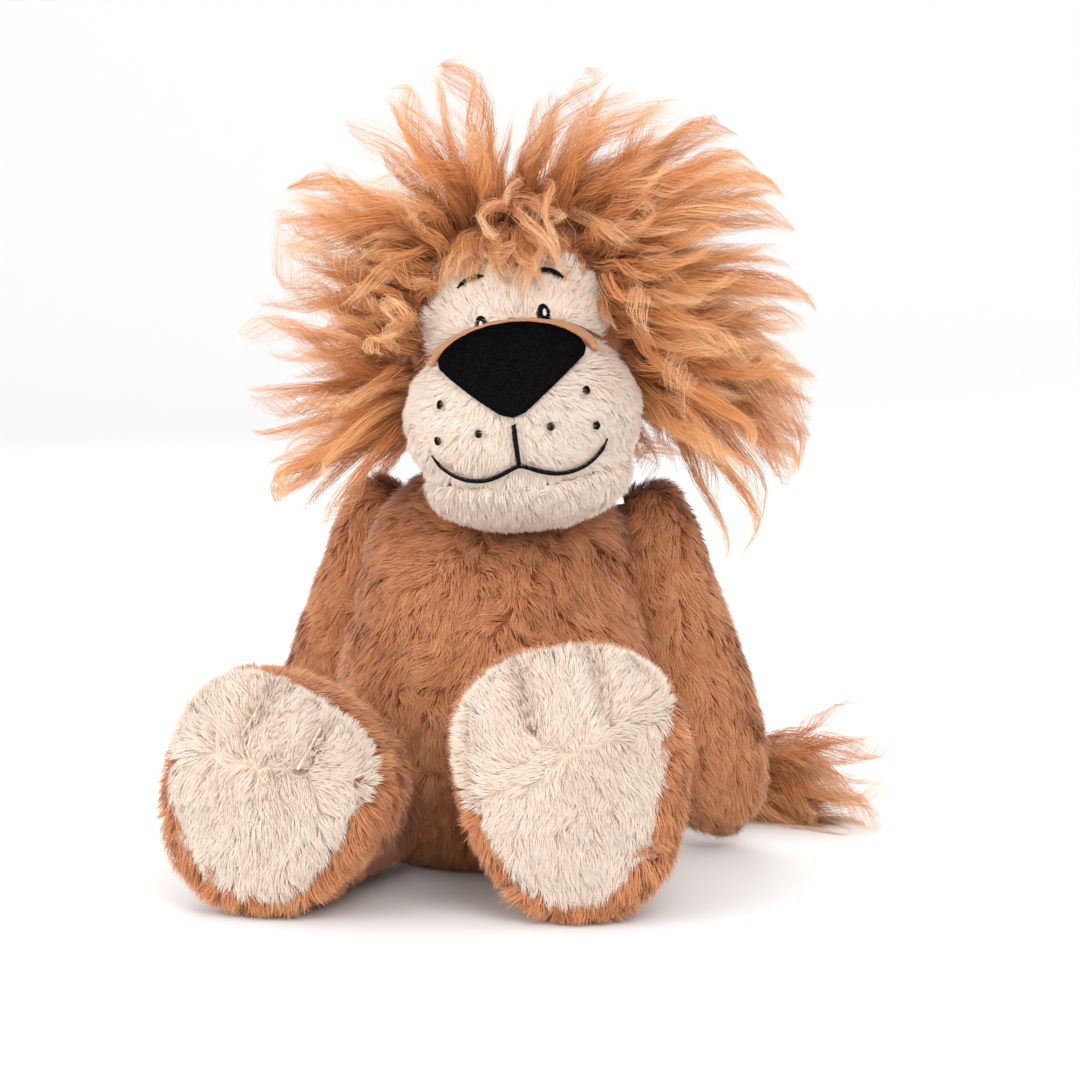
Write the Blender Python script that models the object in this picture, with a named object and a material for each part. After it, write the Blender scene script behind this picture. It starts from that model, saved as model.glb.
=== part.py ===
"""Seated plush lion: stuffed body, head, limbs and tail, long-pile mane, embroidered face.

Metres, +Z up. The lion sits on the ground plane and faces -Y, with its left side at +X.
The origin is on the ground, on the flat seat panel, under the middle of the body.
"""

import math

import bmesh
import bpy
from mathutils import Matrix, Vector

# Seams
SEWN_GAP = 0.0003
JOINT_GAP = 0.0005
FABRIC_THICKNESS = 0.0020
VELOUR_THICKNESS = 0.0013

# Body, a pear that leans its belly forward
BODY_HEIGHT = 0.1760
BODY_HALF_WIDTH = 0.0705
BODY_HALF_DEPTH = 0.0740
BELLY_FORWARD = 0.0120
BODY_SIDES = 32
BODY_PROFILE_SHARES = (
    (0.000, 0.740),
    (0.012, 0.810),
    (0.060, 0.875),
    (0.150, 0.940),
    (0.260, 0.985),
    (0.370, 1.000),
    (0.490, 0.980),
    (0.600, 0.920),
    (0.700, 0.835),
    (0.780, 0.745),
    (0.850, 0.635),
    (0.910, 0.505),
    (0.960, 0.370),
)
BELLY_SHARES = (0.15, 0.2, 0.4, 0.7, 1.0, 1.0, 0.9, 0.7, 0.5, 0.3, 0.15, 0.05, 0.0)

# Seat pocket with its granulate bag, closed by the seat panel
SEAT_BACK = 0.0160
SEAT_RADIUS = 0.0400
SEAT_THICKNESS = 0.0030
POCKET_RADIUS = 0.0340
POCKET_HEIGHT = 0.0300
BAG_CLEARANCE = 0.0004
BAG_SHAPE_SHARES = ((0.0, 0.90), (0.10, 0.985), (0.30, 1.0), (0.55, 0.96), (0.78, 0.80), (0.93, 0.52))
ROUND_SIDES = 32

# Head ball and how it is set on the neck
HEAD_RADIUS = 0.0570
HEAD_SIDE = 0.0120
HEAD_HEIGHT = 0.2260
HEAD_YAW = math.radians(9.0)
HEAD_ROLL = math.radians(-6.0)
HEAD_SIDES = 28
HEAD_TURN = math.radians(16.0)
HEAD_TURN_STEPS = 4
HEAD_RINGS = 14
NECK_STITCH_RING = 0.0150
NECK_THREAD_RADIUS = 0.0007
NECK_THREAD_SIDES = 6
NECK_RING_STEPS = 24
WELD_SHARE = 0.05

# Muzzle and chin, as half sizes and places from the head's centre
MUZZLE_HALF_WIDTH = 0.0520
MUZZLE_HALF_DEPTH = 0.0420
MUZZLE_HALF_HEIGHT = 0.0400
MUZZLE_FORWARD = 0.0540
MUZZLE_DROP = 0.0265
MUZZLE_SIDES = 32
MUZZLE_RINGS = 16
CHIN_HALF_WIDTH = 0.0450
CHIN_HALF_DEPTH = 0.0270
CHIN_HALF_HEIGHT = 0.0220
CHIN_FORWARD = 0.0580
CHIN_DROP = 0.0540
CHIN_SIDES = 24
CHIN_RINGS = 12

# Face panel: angles seen from the head's centre, from the front and from the horizon
FACE_MIDDLE = math.radians(19.0)
FACE_HALF_WIDTH = math.radians(45.0)
FACE_HALF_HEIGHT = math.radians(30.0)
FACE_RING_SHARES = (0.0, 0.3, 0.6, 0.85, 1.0)
FACE_SIDES = 24

# Nose, as the tangents of angles seen from the muzzle's centre along a line tilted up
NOSE_TILT = math.radians(45.0)
NOSE_BULGE = 0.0042
NOSE_EDGE = 0.0016
NOSE_RING_SHARES = (0.0, 0.25, 0.5, 0.72, 0.88, 0.97, 1.0)
NOSE_OUTLINE_SHARES = (
    (0.00, 0.62),
    (0.22, 0.61),
    (0.43, 0.57),
    (0.62, 0.49),
    (0.76, 0.37),
    (0.81, 0.22),
    (0.76, 0.05),
    (0.62, -0.17),
    (0.46, -0.41),
    (0.29, -0.66),
    (0.14, -0.87),
    (0.00, -0.95),
)
BRIDGE_FRONT_SHARES = (
    (0.00, 0.680),
    (0.24, 0.668),
    (0.46, 0.628),
    (0.67, 0.540),
    (0.82, 0.420),
    (0.885, 0.270),
)
BRIDGE_BACK_SHARES = (
    (0.00, 1.55),
    (0.34, 1.50),
    (0.62, 1.30),
    (0.86, 0.98),
    (0.96, 0.62),
    (0.97, 0.30),
)
BRIDGE_STEPS = 5

# Embroidery: thread half thickness, and places as shares of the muzzle's or face's half sizes
MOUTH_THREAD_RADIUS = 0.0011
BROW_THREAD_RADIUS = 0.0011
EMBROIDERY_SIDES = 2
SMILE_STEPS = 2
PAD_SIDES = 10
PAD_SHAPE_SHARES = ((0.0, 1.0), (0.55, 0.94), (0.88, 0.62))
PHILTRUM_SHARES = ((0.0, -0.015), (0.0, -0.14), (0.0, -0.26), (0.0, -0.375))
SMILE_SHARES = (
    (0.000, -0.450),
    (0.070, -0.480),
    (0.170, -0.535),
    (0.290, -0.575),
    (0.420, -0.565),
    (0.540, -0.505),
    (0.645, -0.395),
    (0.710, -0.270),
)
DOT_RADIUS = 0.0019
DOT_HEIGHT = 0.0012
DOT_PLACE_SHARES = (("inner", 0.290, -0.075), ("outer", 0.640, -0.120), ("upper", 0.590, 0.245))
EYE_SPREAD = 0.0135
EYE_RISE = 0.0160
EYE_HALF_WIDTH = 0.0030
EYE_HALF_HEIGHT = 0.0046
EYE_DEPTH = 0.0016
GLINT_HALF_WIDTH = 0.0010
GLINT_HALF_HEIGHT = 0.0016
GLINT_SIDE = 0.0004
GLINT_RISE = 0.0006
GLINT_DEPTH = 0.0007
BROW_SPREAD = 0.0165
BROW_RISE = 0.0320
BROW_HALF_LENGTH = 0.0058
BROW_ARCH = 0.0016
BROW_SLOPE = math.radians(19.0)
BROW_STEP_SHARES = (-1.0, -0.6, -0.2, 0.2, 0.6, 1.0)

# Mane: sewn panels of long pile, each drawn out into locks
MANE_BACKING_THICKNESS = 0.0030
MANE_SEAM = math.radians(1.3)
LOCK_ROOT_INSET = 0.0012
LOCK_STEPS = 4
LOCK_TIP_SHARE = 0.12
LOCK_SWELL_SHARE = 1.05
LOCK_TAPER_POWER = 1.6
LOCK_WAVE = 0.0030
LOCK_WAVES = 1.1
# Steps of a lock's own phase from one row, column or radian to the next
LOCK_PHASE_SHARES = (2.4, 3.7, 5.0)
CROWN_LOCK_LENGTH = 0.0560
CHEEK_LOCK_LENGTH = 0.0600
BACK_LOCK_LENGTH = 0.0440
FORELOCK_LENGTH = 0.0200
LOCK_LENGTH_SPREAD = 0.16
CROWN_SWEEP = 0.22
CHEEK_DROOP = 0.30
NAPE_DROOP = 0.26
FORELOCK_DROOP = 0.9
MANE_LOW = math.radians(-20.0)
NAPE_LOW = math.radians(-33.0)
MANE_BROW = math.radians(51.0)
MANE_SIDE_TOP = math.radians(61.0)
MANE_TOP = math.radians(84.0)
CHEEK_LOW_FRONT = math.radians(62.0)
CHEEK_HIGH_FRONT = math.radians(38.0)
CHEEK_LOW_BACK = math.radians(138.0)
CHEEK_HIGH_BACK = math.radians(119.0)

# Arms: a wide, flat-sided limb that hangs from its shoulder seam
SHOULDER_SIDE = 0.0500
SHOULDER_BACK = 0.0240
SHOULDER_HEIGHT = 0.1560
ARM_LENGTH = 0.1535
ARM_HALF_WIDTH = 0.0300
ARM_HALF_THICKNESS = 0.0280
ARM_TILT = math.radians(13.5)
ARM_OUT = 0.0120
ARM_SIDES = 20
ARM_STATION_SHARES = (
    (-0.035, 0.34, 0.34),
    (0.010, 0.60, 0.54),
    (0.110, 0.76, 0.67),
    (0.280, 0.84, 0.77),
    (0.430, 0.92, 0.87),
    (0.570, 0.98, 0.96),
    (0.700, 1.00, 1.00),
    (0.820, 0.97, 0.97),
    (0.910, 0.82, 0.83),
    (0.970, 0.58, 0.60),
    (1.005, 0.30, 0.32),
)
ARM_POLE_SHARES = (-0.050, 1.020)

# Legs: hip ball, shin, then the tall foot with its sole
HIP_SIDE = 0.0440
HIP_FORWARD = 0.0740
HIP_HEIGHT = 0.0330
HIP_RADIUS = 0.0290
LEFT_LEG_LENGTH = 0.0820
RIGHT_LEG_LENGTH = 0.0980
LEG_LENGTH = {"left": LEFT_LEG_LENGTH, "right": RIGHT_LEG_LENGTH}
LEG_SPLAY = {"left": math.radians(19.0), "right": math.radians(9.0)}
FOOT_ROLL = {"left": math.radians(8.0), "right": math.radians(26.0)}
FOOT_TALL_SHARES = {"left": 1.0, "right": 0.87}
HIP_UP = math.radians(21.0)
HIP_DOWN = math.radians(12.0)
FOOT_HALF_WIDTH = 0.0465
FOOT_HALF_HEIGHT = 0.0560
FOOT_EGG_SHARE = 0.18
FOOT_SQUARE_SHARE = 0.07
LEG_SIDES = 26
# Place along the leg, half width, half height, and rise from the hip's to the foot's middle
LEG_STATION_SHARES = (
    (0.08, 0.00, 0.00, 0.00),
    (0.24, 0.16, 0.18, 0.20),
    (0.40, 0.52, 0.55, 0.58),
    (0.56, 0.84, 0.86, 0.88),
    (0.74, 0.98, 0.98, 1.00),
    (0.90, 1.00, 1.00, 1.00),
    (0.97, 0.985, 0.985, 1.00),
    (1.00, 0.94, 0.955, 1.00),
)
HIP_RING_ANGLES = tuple(math.radians(a) for a in (70.0, 50.0, 30.0, 12.0))
SOLE_WIDE_SHARE = 0.84
SOLE_TALL_SHARE = 0.93
SOLE_RISE = 0.0022
SOLE_BULGE = 0.0065
SOLE_EDGE = 0.0015
SOLE_RING_SHARES = (0.0, 0.25, 0.5, 0.72, 0.9, 1.0)
TOE_GROOVE_SHARE = 0.30
TOE_GROOVE_DEPTH = 0.0030
TOE_GROOVE_WIDTH_SHARE = 0.12
TOE_GROOVE_START_SHARE = 0.42
TOE_GROOVE_INTO_SHARE = 0.12
TOE_STITCH_SHARES = (0.46, 0.56, 0.66, 0.76, 0.84)
TOE_THREAD_RADIUS = 0.0007
TOE_THREAD_SIDES = 6

# Tail: a stuffed cord from the low back that curls to the lion's left, with a long-pile tuft
TAIL_RADIUS = 0.0085
TAIL_ROOT_BACK = 0.0695
TAIL_ROOT_HEIGHT = 0.0260
TAIL_BALL_RADIUS = 0.0100
TAIL_CURL_RADIUS = 0.0400
TAIL_CURL_ANGLE = math.radians(100.0)
TAIL_SIDES = 14
TAIL_RINGS = 10
TAIL_TAPER_RINGS = 2
TAIL_END_SHARE = 0.7
TAIL_DROP_SHARE = 0.625
TUFT_CORE_HALF_LENGTH = 0.0200
TUFT_CORE_HALF_WIDTH = 0.0160
TUFT_LOCK_LENGTH = 0.0560
TUFT_LOCK_SPREAD = 0.55
TUFT_GATHER_SHARE = 0.35
TUFT_DROOP_SHARE = 0.12
TUFT_LIFT_SHARE = 0.35
TUFT_THIN_SHARE = 0.6
TUFT_INSET_SHARE = 0.4
TUFT_PHASE = 2.1
TUFT_SIDES = 10
TUFT_RINGS = 6
TUFT_GROUND_GAP = 0.0006

SIDES = (("left", 1.0), ("right", -1.0))
CUT_OVERRUN = 0.0200

COLOURS = {
    "brown_plush": (0.47, 0.19, 0.075),
    "cream_plush": (0.86, 0.77, 0.66),
    "mane_pile": (0.56, 0.25, 0.09),
    "orange_velour": (0.70, 0.31, 0.13),
    "black_velour": (0.012, 0.012, 0.015),
    "black_thread": (0.010, 0.010, 0.012),
    "white_thread": (0.85, 0.85, 0.83),
    "brown_thread": (0.30, 0.12, 0.05),
    "cream_thread": (0.74, 0.64, 0.53),
    "lining": (0.30, 0.16, 0.08),
}


def clear_scene():
    for obj in list(bpy.data.objects):
        bpy.data.objects.remove(obj)


def material(name):
    """The Principled material of that name, made once."""
    found = bpy.data.materials.get(name)
    if found:
        return found
    made = bpy.data.materials.new(name)
    made.use_nodes = True
    shader = made.node_tree.nodes["Principled BSDF"]
    shader.inputs["Base Color"].default_value = (*COLOURS[name], 1.0)
    shader.inputs["Roughness"].default_value = 0.5 if name.endswith("thread") else 0.9
    shader.inputs["Metallic"].default_value = 0.0
    return made


def link(name, data, finish, parent=None):
    obj = bpy.data.objects.new(name, data)
    bpy.context.scene.collection.objects.link(obj)
    obj.parent = parent
    if finish:
        data.materials.append(material(finish))
    return obj


def pivot(name, place, turn=None):
    """An empty at a joint or a sewn seat, which carries the pieces that move with it."""
    made = link(name, None, None)
    made.matrix_world = Matrix.Translation(place) @ (turn or Matrix.Identity(4))
    return made


def mesh_object(name, points, faces, finish, parent=None):
    mesh = bpy.data.meshes.new(name)
    mesh.from_pydata(points, [], faces)
    mesh.validate()
    bm = bmesh.new()
    bm.from_mesh(mesh)
    bmesh.ops.recalc_face_normals(bm, faces=bm.faces)
    bm.to_mesh(mesh)
    bm.free()
    mesh.shade_smooth()
    return link(name, mesh, finish, parent)


def helper(obj):
    """Marks a cutter, which the build and a render leave out."""
    obj.hide_render = True
    obj.display_type = "WIRE"
    return obj


def cut(obj, cutter):
    """Takes the cutter's volume out of the object."""
    made = obj.modifiers.new("cut_" + cutter.name, "BOOLEAN")
    made.operation = "DIFFERENCE"
    made.solver = "EXACT"
    made.object = cutter


def loft(name, rings, first_pole, last_pole, finish, parent=None):
    """A closed skin over rings of equal count, drawn together at a pole on each end.

    A pole of None closes that end with one flat face.
    """
    sides = len(rings[0])
    points = [p for ring in rings for p in ring]
    faces = []
    for low in range(len(rings) - 1):
        for i in range(sides):
            j = (i + 1) % sides
            a, b = low * sides, (low + 1) * sides
            faces.append((a + i, a + j, b + j, b + i))
    for pole, start in ((first_pole, 0), (last_pole, (len(rings) - 1) * sides)):
        if pole is None:
            faces.append(tuple(start + i for i in range(sides)))
            continue
        points.append(pole)
        top = len(points) - 1
        faces += [(start + i, start + (i + 1) % sides, top) for i in range(sides)]
    return mesh_object(name, points, faces, finish, parent)


def ellipse_ring(middle, across, along, sides):
    """Points of an ellipse about its middle, from its two half axes."""
    turns = (2 * math.pi * i / sides for i in range(sides))
    return [middle + across * math.cos(a) + along * math.sin(a) for a in turns]


def ellipsoid(name, middle, halves, sides, rings, finish, parent=None):
    """A turned ellipsoid whose poles are up and down."""
    up = Vector((0, 0, halves[2]))
    made = []
    for k in range(1, rings):
        lat = -math.pi / 2 + math.pi * k / rings
        wide = Vector((halves[0] * math.cos(lat), 0, 0))
        deep = Vector((0, halves[1] * math.cos(lat), 0))
        made.append(ellipse_ring(middle + up * math.sin(lat), wide, deep, sides))
    return loft(name, made, middle - up, middle + up, finish, parent)


def upright_cylinder(name, middle, radius, low, high, finish=None):
    across, along = Vector((radius, 0, 0)), Vector((0, radius, 0))
    rings = [
        ellipse_ring(Vector((middle[0], middle[1], z)), across, along, ROUND_SIDES) for z in (low, high)
    ]
    return loft(name, rings, None, None, finish)


def thread(name, points, radius, finish, parent=None):
    """Embroidery thread as a tube along its points, with filled caps."""
    curve = bpy.data.curves.new(name, "CURVE")
    curve.dimensions = "3D"
    curve.bevel_depth = radius
    curve.bevel_resolution = EMBROIDERY_SIDES
    curve.use_fill_caps = True
    spline = curve.splines.new("POLY")
    spline.points.add(len(points) - 1)
    for made, point in zip(spline.points, points):
        made.co = (*point, 1.0)
    return link(name, curve, finish, parent)


def tube(name, points, radius, ahead, sides, finish, parent=None):
    """A straight-capped mesh tube along its points, its sections square to the line ahead."""
    rings = []
    ends = [points[0], *points, points[-1]]
    for before, point, after in zip(ends, points, ends[2:]):
        along = (after - before).normalized()
        across = along.cross(ahead).normalized() * radius
        rings.append(ellipse_ring(point, across, across.cross(along), sides))
    return loft(name, rings, None, None, finish, parent)


def smooth_line(points, steps):
    """A Catmull-Rom line through the points, with steps spans between each two."""
    ends = [points[0] * 2 - points[1], *points, points[-1] * 2 - points[-2]]
    line = []
    for a, b, c, d in zip(ends, ends[1:], ends[2:], ends[3:]):
        for k in range(steps):
            t = k / steps
            line.append(
                0.5
                * (
                    2 * b
                    + (c - a) * t
                    + (2 * a - 5 * b + 4 * c - d) * t**2
                    + (3 * b - 3 * c + d - a) * t**3
                )
            )
    return [*line, points[-1]]


def polar_shell(name, outline, ring_shares, place, under, over, finish, parent=None):
    """A cushion over a star-shaped outline.

    place(u, v, lift) gives a point, and under(share) and over(u, v, share) its two lifts.
    """
    sides = len(outline)
    points, faces = [], []
    for top in (True, False):
        base = len(points)
        for share in ring_shares:
            ring = outline[:1] if share == 0.0 else outline
            for u, v in ring:
                u, v = u * share, v * share
                points.append(place(u, v, over(u, v, share) if top else under(share)))
        for k in range(len(ring_shares) - 1):
            for i in range(sides):
                j = (i + 1) % sides
                outer = base + 1 + k * sides
                if k == 0:
                    faces.append((base, outer + i, outer + j))
                else:
                    inner = outer - sides
                    faces.append((inner + i, outer + i, outer + j, inner + j))
    rims = [b + 1 + (len(ring_shares) - 2) * sides for b in (0, len(points) // 2)]
    for i in range(sides):
        j = (i + 1) % sides
        faces.append((rims[0] + i, rims[0] + j, rims[1] + j, rims[1] + i))
    return mesh_object(name, points, faces, finish, parent)


def grid_mesh(grid_over, grid_under):
    """A closed bmesh between two grids of equal size, and its outer faces by row and column."""
    bm = bmesh.new()
    rows, columns = len(grid_over), len(grid_over[0])
    over = [[bm.verts.new(p) for p in row] for row in grid_over]
    under = [[bm.verts.new(p) for p in row] for row in grid_under]
    outer = {}
    for r in range(rows - 1):
        for c in range(columns - 1):
            square = (r, c), (r, c + 1), (r + 1, c + 1), (r + 1, c)
            outer[r, c] = bm.faces.new([over[i][j] for i, j in square])
            bm.faces.new([under[i][j] for i, j in reversed(square)])
    rim = [(0, c) for c in range(columns)]
    rim += [(r, columns - 1) for r in range(1, rows)]
    rim += [(rows - 1, c) for c in range(columns - 2, -1, -1)]
    rim += [(r, 0) for r in range(rows - 2, 0, -1)]
    for (a, b), (c, d) in zip(rim, rim[1:] + rim[:1]):
        bm.faces.new((over[c][d], over[a][b], under[a][b], under[c][d]))
    bmesh.ops.recalc_face_normals(bm, faces=bm.faces)
    return bm, outer


def mirrored(half):
    """A whole outline from its right half, which starts and ends on the middle line."""
    return [*half, *((-u, v) for u, v in reversed(half[1:-1]))]


def head_direction(azimuth, elevation):
    """A unit vector from the head's centre: azimuth from the front to the lion's left."""
    flat = math.cos(elevation)
    return Vector((flat * math.sin(azimuth), -flat * math.cos(azimuth), math.sin(elevation)))


def body_shape(name, grow, finish):
    """The body's pear, grown all round for a cutter."""
    rings = []
    for (height, width), lean in zip(BODY_PROFILE_SHARES, BELLY_SHARES):
        middle = Vector((0, -BELLY_FORWARD * lean, BODY_HEIGHT * height))
        wide = Vector((BODY_HALF_WIDTH * width + grow, 0, 0))
        deep = Vector((0, BODY_HALF_DEPTH * width + grow, 0))
        rings.append(ellipse_ring(middle, wide, deep, BODY_SIDES))
    return loft(name, rings, None, Vector((0, 0, BODY_HEIGHT + grow)), finish)


def make_body():
    body = body_shape("body", 0, "brown_plush")
    seat = Vector((0, SEAT_BACK, 0))
    recess_top = SEAT_THICKNESS + SEWN_GAP
    pocket_top = recess_top + POCKET_HEIGHT
    recess_radius = SEAT_RADIUS + SEWN_GAP
    recess = upright_cylinder("seat_recess", seat, recess_radius, -CUT_OVERRUN, recess_top)
    pocket = upright_cylinder("seat_pocket", seat, POCKET_RADIUS, -CUT_OVERRUN, pocket_top)
    cut(body, helper(recess))
    cut(body, helper(pocket))
    upright_cylinder("seat_panel", seat, SEAT_RADIUS, 0, SEAT_THICKNESS, "brown_plush")
    make_pellet_bag(seat, recess_top, pocket_top)
    return body


def make_pellet_bag(seat, low, high):
    """The granulate bag, flat where it lies on the seat panel and crowned above."""
    radius = POCKET_RADIUS - BAG_CLEARANCE
    tall = high - low - BAG_CLEARANCE
    rings = [
        ellipse_ring(
            seat + Vector((0, 0, low + tall * h)),
            Vector((radius * w, 0, 0)),
            Vector((0, radius * w, 0)),
            ROUND_SIDES,
        )
        for h, w in BAG_SHAPE_SHARES
    ]
    loft("pellet_bag", rings, None, seat + Vector((0, 0, low + tall)), "lining")


def make_neck(body, head_middle):
    """Seats the head in a dish on the body, with a ring of ladder stitch in the seam."""
    halves = [HEAD_RADIUS + JOINT_GAP] * 3
    dish = ellipsoid("neck_dish", head_middle, halves, HEAD_SIDES, HEAD_RINGS * 2, None)
    cut(body, helper(dish))
    out = HEAD_RADIUS + JOINT_GAP * 2 + NECK_THREAD_RADIUS
    drop = math.sqrt(out**2 - NECK_STITCH_RING**2)
    middle = head_middle - Vector((0, 0, drop))
    for name, radius, finish in (
        ("neck_stitch", NECK_THREAD_RADIUS, "brown_thread"),
        ("neck_groove", NECK_THREAD_RADIUS + SEWN_GAP, None),
    ):
        made = make_ring(name, middle, NECK_STITCH_RING, radius, finish)
        if finish is None:
            cut(body, helper(made))


def make_ring(name, middle, ring_radius, thread_radius, finish):
    bm = bmesh.new()
    start = middle + Vector((ring_radius, 0, 0))
    wide = Vector((thread_radius, 0, 0))
    tall = Vector((0, 0, thread_radius))
    loop = [bm.verts.new(p) for p in ellipse_ring(start, wide, tall, NECK_THREAD_SIDES)]
    edges = [bm.edges.new((a, b)) for a, b in zip(loop, loop[1:] + loop[:1])]
    bmesh.ops.spin(
        bm,
        geom=loop + edges,
        cent=middle,
        axis=(0, 0, 1),
        angle=2 * math.pi,
        steps=NECK_RING_STEPS,
        use_merge=True,
    )
    bmesh.ops.remove_doubles(bm, verts=bm.verts, dist=thread_radius * WELD_SHARE)
    bmesh.ops.recalc_face_normals(bm, faces=bm.faces)
    mesh = bpy.data.meshes.new(name)
    bm.to_mesh(mesh)
    bm.free()
    return link(name, mesh, finish)


def muzzle_place(u, v, lift):
    """A point over the muzzle, from the tangents of two angles about the nose's own line."""
    ahead = Vector((0, -math.cos(NOSE_TILT), math.sin(NOSE_TILT)))
    rise = Vector((0, math.sin(NOSE_TILT), math.cos(NOSE_TILT)))
    return muzzle_point((ahead + Vector((1, 0, 0)) * u + rise * v).normalized(), lift)


def muzzle_point(direction, lift):
    """The muzzle's surface in a direction from its centre, lifted square off it."""
    halves = (MUZZLE_HALF_WIDTH, MUZZLE_HALF_DEPTH, MUZZLE_HALF_HEIGHT)
    middle = Vector((0, -MUZZLE_FORWARD, -MUZZLE_DROP))
    square = Vector(d / h for h, d in zip(halves, direction)).normalized()
    return middle + Vector(h * d for h, d in zip(halves, direction)) + square * lift


def muzzle_front(across, rise, lift):
    """The muzzle's front at shares of its half width and half height."""
    ahead = math.sqrt(max(0.0, 1 - across**2 - rise**2))
    return muzzle_point(Vector((across, -ahead, rise)), lift)


def face_point(across, rise, lift):
    """The face panel's outer side at a place given from the head's centre."""
    out = HEAD_RADIUS + SEWN_GAP + FABRIC_THICKNESS
    ahead = math.sqrt(out**2 - across**2 - rise**2)
    return Vector((across, -ahead, rise)) * ((out + lift) / out)


def make_head(head):
    zero = Vector((0, 0, 0))
    ball = [HEAD_RADIUS] * 3
    ellipsoid("head", zero, ball, HEAD_SIDES, HEAD_RINGS, "brown_plush", head)
    seat = [HEAD_RADIUS + SEWN_GAP] * 3
    ball_cutter = helper(ellipsoid("head_cutter", zero, seat, HEAD_SIDES, HEAD_RINGS, None, head))
    middle = Vector((0, -MUZZLE_FORWARD, -MUZZLE_DROP))
    halves = (MUZZLE_HALF_WIDTH, MUZZLE_HALF_DEPTH, MUZZLE_HALF_HEIGHT)
    muzzle = ellipsoid("muzzle", middle, halves, MUZZLE_SIDES, MUZZLE_RINGS, "cream_plush", head)
    cut(muzzle, ball_cutter)
    facets = math.cos(math.pi / MUZZLE_SIDES) * math.cos(math.pi / (2 * MUZZLE_RINGS))
    grown = [(h + VELOUR_THICKNESS + 2 * SEWN_GAP) / facets for h in halves]
    muzzle_cutter = helper(
        ellipsoid("muzzle_cutter", middle, grown, MUZZLE_SIDES, MUZZLE_RINGS, None, head)
    )
    close = [h + SEWN_GAP for h in halves]
    chin_seam = helper(
        ellipsoid("chin_seam", middle, close, MUZZLE_SIDES, MUZZLE_RINGS, None, head)
    )
    chin = ellipsoid(
        "chin",
        Vector((0, -CHIN_FORWARD, -CHIN_DROP)),
        (CHIN_HALF_WIDTH, CHIN_HALF_DEPTH, CHIN_HALF_HEIGHT),
        CHIN_SIDES,
        CHIN_RINGS,
        "cream_plush",
        head,
    )
    cut(chin, chin_seam)
    cut(chin, ball_cutter)
    make_face_panel(head, muzzle_cutter)
    make_bridge(head, ball_cutter)
    make_nose(head)
    make_mouth(head)
    for side, sign in SIDES:
        make_eye(side, sign, head, muzzle_cutter)
        make_brow(side, sign, head)
    clear_chest((muzzle, chin), head.matrix_world.translation)


def clear_chest(pieces, head_middle):
    """Takes off the pieces what would meet the chest as the head turns to the lion's right."""
    for k in range(HEAD_TURN_STEPS + 1):
        chest = helper(body_shape(f"chest_{k}", JOINT_GAP, None))
        turn = Matrix.Rotation(HEAD_TURN * k / HEAD_TURN_STEPS, 4, "Z")
        chest.matrix_world = Matrix.Translation(head_middle) @ turn @ Matrix.Translation(-head_middle)
        for piece in pieces:
            cut(piece, chest)


def make_face_panel(head, muzzle_cutter):
    """The cream upper face, a patch of plush over the front of the head ball."""
    turns = [2 * math.pi * i / FACE_SIDES for i in range(FACE_SIDES)]
    outline = [(math.cos(a), math.sin(a)) for a in turns]

    def place(u, v, lift):
        azimuth, elevation = u * FACE_HALF_WIDTH, FACE_MIDDLE + v * FACE_HALF_HEIGHT
        return head_direction(azimuth, elevation) * (HEAD_RADIUS + SEWN_GAP + lift)

    panel = polar_shell(
        "face_panel",
        outline,
        FACE_RING_SHARES,
        place,
        lambda share: 0.0,
        lambda u, v, share: FABRIC_THICKNESS,
        "cream_plush",
        head,
    )
    cut(panel, muzzle_cutter)


def make_bridge(head, ball_cutter):
    """The smooth velour strip over the muzzle behind the nose, shown as a rim round it."""
    front = mirrored_strip(BRIDGE_FRONT_SHARES)
    back = mirrored_strip(BRIDGE_BACK_SHARES)
    over, under = [], []
    for k in range(BRIDGE_STEPS + 1):
        t = k / BRIDGE_STEPS
        row = [(a[0] + (b[0] - a[0]) * t, a[1] + (b[1] - a[1]) * t) for a, b in zip(front, back)]
        over.append([muzzle_place(u, v, SEWN_GAP + VELOUR_THICKNESS) for u, v in row])
        under.append([muzzle_place(u, v, SEWN_GAP) for u, v in row])
    bm, _ = grid_mesh(over, under)
    bridge = finish_bmesh("nose_bridge", bm, "orange_velour", head)
    cut(bridge, ball_cutter)


def mirrored_strip(half):
    """A line from its right half, which starts on the middle line, run from left to right."""
    return [*((-u, v) for u, v in reversed(half[1:])), *half]


def finish_bmesh(name, bm, finish, parent):
    mesh = bpy.data.meshes.new(name)
    bmesh.ops.recalc_face_normals(bm, faces=bm.faces)
    if bm.calc_volume(signed=True) < 0:
        bmesh.ops.reverse_faces(bm, faces=bm.faces)
    bm.to_mesh(mesh)
    bm.free()
    mesh.shade_smooth()
    return link(name, mesh, finish, parent)


def make_nose(head):
    def over(u, v, share):
        return SEWN_GAP + NOSE_EDGE + NOSE_BULGE * math.sqrt(1 - share**2)

    polar_shell(
        "nose",
        mirrored(NOSE_OUTLINE_SHARES),
        NOSE_RING_SHARES,
        muzzle_place,
        lambda share: SEWN_GAP,
        over,
        "black_velour",
        head,
    )


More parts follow.
